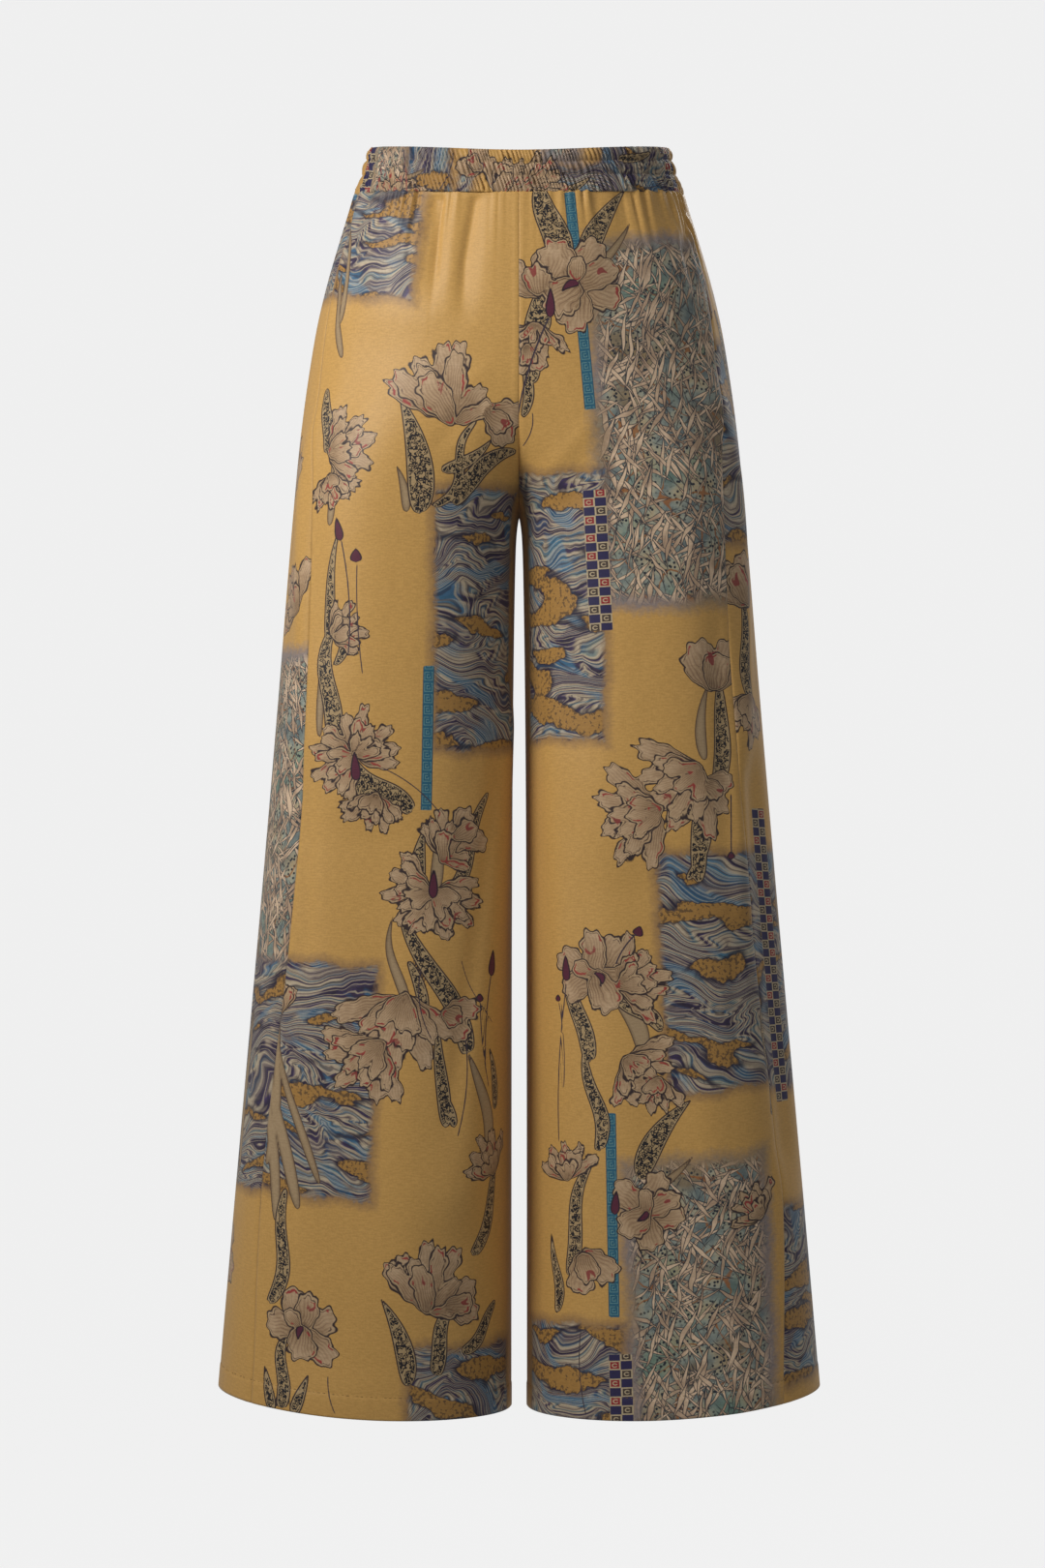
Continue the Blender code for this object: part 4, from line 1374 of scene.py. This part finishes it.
def wave_colour(finish, cloth, ochre):
    """Long swaying stripes of water in blues and greys, broken by jagged islands."""
    moved = finish.strayed(finish.strayed(cloth, 6.5, 0.150), 16.0, 0.022)
    fine = finish.strayed(moved, 70.0, 0.0018)
    split = finish.node("ShaderNodeSeparateXYZ", None, {0: fine})
    rings = finish.spots(moved, 15.0) * finish.noise(cloth, 8.0, 0.0).rise(0.42, 0.60)
    level = Value(finish, split.outputs["Y"]) + rings * 0.045
    uneven = finish.noise(finish.stretched(moved, 0, 0.12, 0.012), 1.0, 1.0)
    stripes = (level * (1 / WAVE_HEIGHT) + uneven * 1.2).fraction()
    lines = abs((level * (1 / WAVE_LINE) + uneven * 3.0).fraction() - 0.5)
    heavy = finish.noise(finish.stretched(moved, 0, 0.070, 0.020), 1.0, 1.0)
    bright = finish.noise(finish.stretched(moved, 25, 0.05, 0.012), 1.0, 0.0)
    ragged = finish.strayed(finish.strayed(cloth, 16.0, 0.030), 150.0, 0.0045)
    islands = finish.noise(finish.stretched(ragged, 8, 0.085, 0.024), 1.0, 1.0)
    stipple = finish.noise(cloth, 330.0, 2.0) + islands * -1.2
    dull = finish.tinted(ochre, "island dulled", 1.0)
    return finish.paint(
        finish.ramp(stripes, WAVE_STOPS),
        ("violet", heavy.rise(0.54, 0.60) * 0.55),
        ("clear blue", bright.rise(0.60, 0.72) * 0.55),
        ("fine dark", lines.rise(0.15, 0.08) * 0.60),
        ("fine pale", lines.rise(0.36, 0.45) * 0.55),
        ("island rim", islands.rise(0.565, 0.615) * 0.9),
        (finish.paint(dull, ("island dots", stipple.rise(-0.29, -0.22) * 0.7)),
         islands.rise(0.618, 0.628)))


def bamboo_colour(finish, cloth):
    """Mottled slate with crossing pale leaves, each with a dark shadow."""
    mottle = finish.noise(cloth, 46.0, 3.0)
    green = finish.noise(cloth, 19.0, 1.0)
    dots = finish.spots(cloth, 240.0)
    twigs = finish.noise(finish.strayed(cloth, 60.0, 0.01), 30.0, 0.0)
    colour = finish.paint(
        finish.ramp(mottle, SLATE_STOPS),
        ("moss", green.rise(0.56, 0.72) * 0.55),
        ("earth", green.rise(0.42, 0.30) * 0.65),
        ("slate dots", dots.rise(0.30, 0.20) * mottle.rise(0.42, 0.52)),
        ("twig", abs(twigs - 0.5).rise(0.016, 0.007) * 0.9))
    moved = finish.strayed(cloth, 24.0, 0.012)
    leaf_tone = finish.noise(cloth, 55.0, 1.0).rise(0.38, 0.62)
    leaf = finish.paint("leaf dull", ("leaf pale", leaf_tone))
    sparse = finish.noise(cloth, 24.0, 1.0).rise(0.50, 0.34) * 0.08
    for lean, width, length in BAMBOO_LEANS:
        cells = finish.stretched(moved, lean, width, length)
        blade = finish.spots(cells, 1.0, "MANHATTAN") + sparse
        colour = finish.paint(
            colour,
            ("leaf shadow", blade.rise(0.330, 0.290) * 0.85),
            (leaf, blade.rise(0.245, 0.205)))
    return colour


def check_colour(finish, across, along):
    """Two columns of indigo and pale-edged dark checks, a few of them red, with a swirl in each."""
    column = across * (1 / CHECK_WIDE) + 8
    row = along * (1 / CHECK_TALL) + 64
    sideways = column.fraction() - 0.5
    upward = row.fraction() - 0.5
    place = finish.node("ShaderNodeCombineXYZ", None, {0: column, 1: row, 2: 0.5}).outputs[0]
    settings = {"Vector": place, "Color1": (0, 0, 0, 1), "Color2": (1, 1, 1, 1), "Scale": 1.0}
    odd = Value(finish, finish.node("ShaderNodeTexChecker", None, settings).outputs["Fac"])
    cell = finish.node("ShaderNodeVectorMath", {"operation": "FLOOR"}, {0: place}).outputs[0]
    drawn = finish.node("ShaderNodeTexWhiteNoise", {"noise_dimensions": "3D"}, {"Vector": cell})
    red = Value(finish, drawn.outputs["Value"]) > RED_CHECKS_FROM
    spread = sideways * sideways + upward * upward
    swirl = abs(spread - 0.040).rise(0.026, 0.014) * (1 - (abs(upward) < 0.08) * (sideways > 0.0))
    border = abs(sideways).most(abs(upward))
    plain = finish.paint(
        "check brown",
        ("check red", red),
        ("check pale", swirl),
        ("check pale", border.rise(0.36, 0.40)))
    return finish.paint("indigo", ("indigo edge", border.rise(0.455, 0.485)), (plain, odd))


def key_colour(finish, across, along):
    """A strip of teal with a fine pale key pattern."""
    sideways = across * (1 / KEY_CELL)
    upward = (along * (1 / KEY_CELL)).fraction() - 0.5
    ring = abs(sideways).most(abs(upward)) * 2
    line = (ring * 2.4 + 0.15).fraction().rise(0.62, 0.70)
    gap = (abs(sideways - 0.16) < 0.07) * (upward > 0.0)
    edge = abs(sideways).rise(0.44, 0.49)
    return finish.paint("teal", ("key", line * (1 - gap) * 0.8), ("teal edge", edge))


def petal_colour(finish, cloth):
    """Taupe petals, paler to their tips, with fine veins that run along them."""
    across = finish.attribute("vein_across")
    along = finish.attribute("vein_along")
    tone = along * 0.7 + finish.noise(cloth, 120.0, 2.0) * 0.5
    waver = finish.noise(cloth, 60.0, 1.0)
    veins = abs((across * 4.2 + waver * 3.0).fraction() - 0.5)
    return finish.paint(
        finish.ramp(tone, PETAL_STOPS),
        ("vein", veins.rise(0.13, 0.05) * along.rise(1.0, 0.45) * 0.62),
        ("glint", veins.rise(0.36, 0.46) * 0.28))


def drawn_petals(finish, under, cloth, field, petals):
    """Petals with an inked edge, a pale rim, and touches of red where the rim curls."""
    curling = finish.noise(cloth, 120.0, 1.0)
    touched = finish.noise(cloth, 85.0, 0.0)
    rim = field.rise(0.0004, 0.0007) * field.rise(0.0016, 0.0012)
    line = abs(field - 0.0019).rise(0.00045, 0.00015)
    touch = abs(field - 0.0026).rise(0.0010, 0.0003)
    colour = finish.paint(
        under,
        (petals, field.inside()),
        ("petal rim", rim * 0.5),
        ("petal line", line * curling.rise(0.42, 0.50) * 0.85),
        ("petal touch", touch * touched.rise(0.64, 0.67)))
    return finish.outlined(colour, field, "ink")


def speckle_colour(finish, cloth):
    """Cream filled with small black curls."""
    curls = finish.noise(cloth, 260.0, 1.0)
    inked = abs(curls - 0.5).rise(0.082, 0.056)
    return finish.paint("curl ground", ("curl", inked.most(curls.rise(0.64, 0.66))))


def printed_satin(name, colours, painted_shade_level, roughness):
    """Satin with the print drawn from the mesh's signed distances, darkened overall by a painted
    shade level.
    """
    finish = Finish(name)
    cloth = finish.place("cloth")
    ochre = (*colours.ground, 1.0)
    wander = finish.noise(cloth, 230.0, 2.0) - 0.5
    ragged = finish.noise(cloth, 105.0, 0.0) - 0.5

    bamboo = finish.attribute("bamboo") + wander * 0.008
    hazy = finish.noise(cloth, 9.0, 0.0).rise(0.4, 0.6)
    halo = finish.paint("halo warm", ("halo cool", hazy))
    waves = finish.attribute("waves") + wander * 0.006
    across = finish.attribute("strip_across")
    along = finish.attribute("strip_along")
    pale = finish.attribute("pale")
    blade = finish.paint("blade dull", ("blade pale", pale.rise(0.0006, 0.0026)))
    colour = finish.paint(
        ochre,
        (halo, bamboo.rise(-0.006, 0.005) * 0.85),
        (bamboo_colour(finish, cloth), bamboo.rise(0.004, 0.014)),
        ("wave halo", waves.rise(-0.0085, 0.0015) * 0.62),
        (wave_colour(finish, cloth, ochre), waves.rise(-0.001, 0.0035)),
        (key_colour(finish, across, along), finish.attribute("meander").inside()),
        (check_colour(finish, across, along), finish.attribute("checks").inside()),
        (blade, pale.inside()))
    colour = finish.outlined(colour, pale, "blade ink", OUTLINE * 0.7)

    speckle = finish.attribute("speckle")
    filled = finish.paint("stem", (speckle_colour(finish, cloth), speckle.rise(0.0008, 0.0014)))
    colour = finish.paint(colour, (filled, speckle.inside()))
    colour = finish.outlined(colour, speckle, "ink")
    petals = petal_colour(finish, cloth)
    for layer in ("petal_low", "petal_mid", "petal_top"):
        field = finish.attribute(layer) + ragged * 0.005
        colour = drawn_petals(finish, colour, cloth, field, petals)

    red = finish.attribute("red") + wander * 0.001
    plum = finish.attribute("plum")
    colour = finish.paint(colour, ("red", red.rise(-0.0002, 0.0004) * 0.9), ("plum", plum.inside()))
    colour = finish.outlined(colour, plum, "plum ink")
    side = abs(finish.attribute("thread_side")) - finish.attribute("thread_width")
    colour = finish.paint(colour, ("thread", side.rise(0.0002, -0.0002)))

    slub = finish.noise(finish.stretched(cloth, 0, 0.0060, 0.0012), 1.0, 2.0)
    grain = finish.noise(cloth, 620.0, 1.0)
    colour = finish.tinted(colour, finish.ramp(slub * 0.6 + grain * 0.4, SLUB_STOPS), 0.6)
    # Painted shade: the whole colour is multiplied down, to 0.86 on the gathered waistband, for the
    # shade in its gathers.
    colour = finish.tinted(colour, (painted_shade_level, painted_shade_level, painted_shade_level, 1.0), 1.0)
    ripple = finish.bump(finish.noise(cloth, 34.0, 2.0), 0.0012, 0.5)
    return finish.surface({
        "Base Color": colour,
        "Roughness": finish.noise(cloth, 16.0, 1.0) * 0.14 + (roughness - 0.07),
        "Normal": finish.bump(grain, 0.00012, 0.5, ripple),
        "Sheen Weight": 0.15,
        "Sheen Roughness": 0.45,
        "Specular IOR Level": 0.38,
    })


def sewing_thread(name, colours):
    """Twisted sewing thread."""
    finish = Finish(name)
    twist = finish.grain(1800.0)
    dark = (*[part * 0.7 for part in colours.thread], 1.0)
    return finish.surface({
        "Base Color": finish.ramp(twist, [(0.35, dark), (0.65, (*colours.thread, 1.0))]),
        "Normal": finish.bump(twist, 0.0001, 0.5),
        "Roughness": 0.6,
    })


def studio_paper(colours):
    """Pale seamless paper that glows a little, so that it stays even."""
    finish = Finish("studio_paper")
    paper = (*colours.paper, 1.0)
    return finish.surface({
        "Base Color": finish.tinted(paper, (0.995, 0.995, 0.995, 1.0), finish.grain(90.0)),
        "Roughness": 0.9,
        "Specular IOR Level": 0.0,
        "Emission Color": (1.0, 1.0, 1.0, 1.0),
        "Emission Strength": PAPER_GLOW,
    })


# ---------------------------------------------------------------------------------------------
# Stage
# ---------------------------------------------------------------------------------------------

PAPER_GLOW = 0.858
FLOOR_DROP = 1.30
STAGE_RADIUS = 9.0      # the paper goes all round, so that every side has it behind
STAGE_BEND = 2.5
STAGE_TOP = 9.0
STAGE_BEND_ROWS = 12
STAGE_SIDES = 64
CAMERA_OUT = 0.0027
CAMERA_BACK = 3.3
CAMERA_DROP = 0.513
CAMERA_LENS = 94.0
CAMERA_SENSOR = 36.0
LIGHT_COLUMNS = ("name", "place", "aim", "width", "height", "power", "tint")
LIGHTS = (
    ("key", (-1.35, -1.12, 0.62), (0.0, 0.0, -0.15), 0.7, 0.6, 11.0, (1.0, 0.98, 0.95)),
    ("fill", (1.8, -2.6, 0.5), (0.0, 0.0, -0.4), 1.4, 1.4, 1.8, (1.0, 0.98, 0.95)),
    ("back", (0.8, 1.8, 0.9), (0.0, 0.0, -0.4), 1.6, 1.0, 10.0, (1.0, 1.0, 1.0)),
)
LIGHT_SPREAD = 110 * DEGREE
WORLD_STRENGTH = 0.25


def make_stage(colours):
    """A round sweep of pale paper, three soft lights, an even sky and the camera."""
    floor_reach = STAGE_RADIUS - STAGE_BEND
    profile = [(0.0, -FLOOR_DROP)]
    for step in range(STAGE_BEND_ROWS + 1):
        turned = math.pi / 2 * step / STAGE_BEND_ROWS
        rise = STAGE_BEND * (1 - math.cos(turned))
        profile.append((floor_reach + STAGE_BEND * math.sin(turned), rise - FLOOR_DROP))
    profile.append((STAGE_RADIUS, STAGE_TOP))
    work = bmesh.new()
    verts = [work.verts.new((out, 0.0, high)) for out, high in profile]
    edges = [work.edges.new(ends) for ends in zip(verts, verts[1:])]
    bmesh.ops.spin(work, geom=verts + edges, cent=(0, 0, 0), axis=(0, 0, 1), angle=2 * math.pi,
                   steps=STAGE_SIDES)
    bmesh.ops.remove_doubles(work, verts=work.verts, dist=0.0001)
    outward = [face for face in work.faces
               if face.normal.z < 0 or face.normal.dot(face.calc_center_median()) > 0.5]
    bmesh.ops.reverse_faces(work, faces=outward)
    mesh = bpy.data.meshes.new("paper_sweep")
    work.to_mesh(mesh)
    work.free()
    mesh.shade_smooth()
    mesh.materials.append(studio_paper(colours))
    sweep = bpy.data.objects.new("paper_sweep", mesh)
    sweep.visible_diffuse = False
    sweep.visible_glossy = False
    bpy.context.scene.collection.objects.link(sweep)

    for row in rows_of(LIGHT_COLUMNS, LIGHTS):
        light = bpy.data.lights.new(row["name"] + "_light", "AREA")
        light.shape = "RECTANGLE"
        light.size = row["width"]
        light.size_y = row["height"]
        light.energy = row["power"]
        light.color = row["tint"]
        light.spread = LIGHT_SPREAD
        lamp = bpy.data.objects.new(row["name"] + "_light", light)
        lamp.location = row["place"]
        aim = Vector(row["aim"]) - Vector(row["place"])
        lamp.rotation_euler = aim.to_track_quat("-Z", "Y").to_euler()
        bpy.context.scene.collection.objects.link(lamp)

    world = bpy.data.worlds.new("studio_sky")
    world.use_nodes = True
    sky = world.node_tree.nodes["Background"].inputs
    sky["Color"].default_value = (1.0, 1.0, 1.0, 1.0)
    sky["Strength"].default_value = WORLD_STRENGTH
    bpy.context.scene.world = world
    bpy.context.scene.view_settings.view_transform = "Standard"

    camera = bpy.data.objects.new("camera", bpy.data.cameras.new("camera"))
    camera.location = (CAMERA_OUT, -CAMERA_BACK, -CAMERA_DROP)
    camera.rotation_euler = (math.pi / 2, 0.0, 0.0)
    camera.data.lens = CAMERA_LENS
    camera.data.sensor_width = CAMERA_SENSOR
    bpy.context.scene.collection.objects.link(camera)
    bpy.context.scene.camera = camera


# ---------------------------------------------------------------------------------------------
# Add-on
# ---------------------------------------------------------------------------------------------

# The gathered satin is the printed satin darkened as painted shade, for the shade that falls in the
# waistband's fine gathers.
SATINS = {"printed_satin": (1.0, 0.54), "gathered_satin_shaded": (0.86, 0.58)}     # painted shade level, roughness


class PantsSizes(bpy.types.PropertyGroup):
    """Sizes that a user would change."""

    stitch_length: bpy.props.FloatProperty(
        name="Stitch Length", description="Length of one stitch that shows",
        default=0.0024, min=0.001, max=0.006, unit="LENGTH")
    stitch_space: bpy.props.FloatProperty(
        name="Stitch Space", description="Space between stitches",
        default=0.0009, min=0.0002, max=0.004, unit="LENGTH")
    thread_thickness: bpy.props.FloatProperty(
        name="Thread Thickness", description="Thickness of the sewing thread",
        default=0.00042, min=0.0001, max=0.001, unit="LENGTH")


class PantsColours(bpy.types.PropertyGroup):
    """Colours that a user would change."""

    ground: bpy.props.FloatVectorProperty(
        name="Ground", description="Colour of the satin between its motifs",
        default=shade("#cc9f58")[:3], min=0, max=1, subtype="COLOR")
    thread: bpy.props.FloatVectorProperty(
        name="Thread", description="Colour of the sewing thread",
        default=shade("#8a6a3a")[:3], min=0, max=1, subtype="COLOR")
    paper: bpy.props.FloatVectorProperty(
        name="Paper", description="Colour of the studio paper",
        default=(0.03, 0.03, 0.03), min=0, max=1, subtype="COLOR")


def satin_and_thread(satin, colours):
    """One of the two satins, and the sewing thread, each made once."""
    made = bpy.data.materials
    return (made.get(satin) or printed_satin(satin, colours, *SATINS[satin]),
            made.get("sewing_thread") or sewing_thread("sewing_thread", colours))


def make_panels(scene, face, first_seed):
    """The left and the right panel of one face, hung from its half of the waistband."""
    materials = satin_and_thread("printed_satin", scene.pants_colours)
    for seed, side in enumerate(SIDE_SIGN, first_seed):
        panel, stitches = make_panel(side, face, scene.pants_sizes, *materials, seed)


class PANTS_OT_front_panels(bpy.types.Operator):
    """Make the two front panels and their hem stitches"""

    bl_idname = "pants.front_panels"
    bl_label = "Front Panels"

    def execute(self, context):
        make_panels(context.scene, "front", 1)
        return {"FINISHED"}


class PANTS_OT_back_panels(bpy.types.Operator):
    """Make the two back panels and their hem stitches"""

    bl_idname = "pants.back_panels"
    bl_label = "Back Panels"

    def execute(self, context):
        make_panels(context.scene, "back", 3)
        return {"FINISHED"}


class PANTS_OT_waistband(bpy.types.Operator):
    """Make the gathered waistband in two halves, with its stitch rows"""

    bl_idname = "pants.waistband"
    bl_label = "Waistband"

    def execute(self, context):
        scene = context.scene
        materials = satin_and_thread("gathered_satin_shaded", scene.pants_colours)
        for seed, face in enumerate(FACE_TURN, 5):
            band, stitches = make_band(face, scene.pants_sizes, *materials, seed)
        return {"FINISHED"}


class PANTS_OT_stage(bpy.types.Operator):
    """Make the paper sweep, the lights, the sky and the camera"""

    bl_idname = "pants.stage"
    bl_label = "Stage"

    def execute(self, context):
        make_stage(context.scene.pants_colours)
        return {"FINISHED"}


class PANTS_PT_maker(bpy.types.Panel):
    """The pieces of the pants"""

    bl_label = "Palazzo Pants"
    bl_idname = "PANTS_PT_maker"
    bl_space_type = "VIEW_3D"
    bl_region_type = "UI"
    bl_category = "Palazzo Pants"

    def draw(self, context):
        for group in (context.scene.pants_sizes, context.scene.pants_colours):
            for name in group.__annotations__:
                self.layout.prop(group, name)
        for step in STEPS:
            self.layout.operator(step.bl_idname)


STEPS = (PANTS_OT_front_panels, PANTS_OT_back_panels, PANTS_OT_waistband, PANTS_OT_stage)
CLASSES = (PantsSizes, PantsColours, *STEPS, PANTS_PT_maker)


def register():
    """Adds the classes, and the sizes and colours to every scene."""
    for item in CLASSES:
        bpy.utils.register_class(item)
    bpy.types.Scene.pants_sizes = bpy.props.PointerProperty(type=PantsSizes)
    bpy.types.Scene.pants_colours = bpy.props.PointerProperty(type=PantsColours)


def unregister():
    """Takes away what register adds."""
    del bpy.types.Scene.pants_sizes
    del bpy.types.Scene.pants_colours
    for item in reversed(CLASSES):
        bpy.utils.unregister_class(item)


def main():
    """Makes the whole garment and its stage."""
    register()
    bpy.ops.pants.front_panels()
    bpy.ops.pants.back_panels()
    bpy.ops.pants.waistband()
    bpy.ops.pants.stage()


if __name__ == "__main__":
    main()
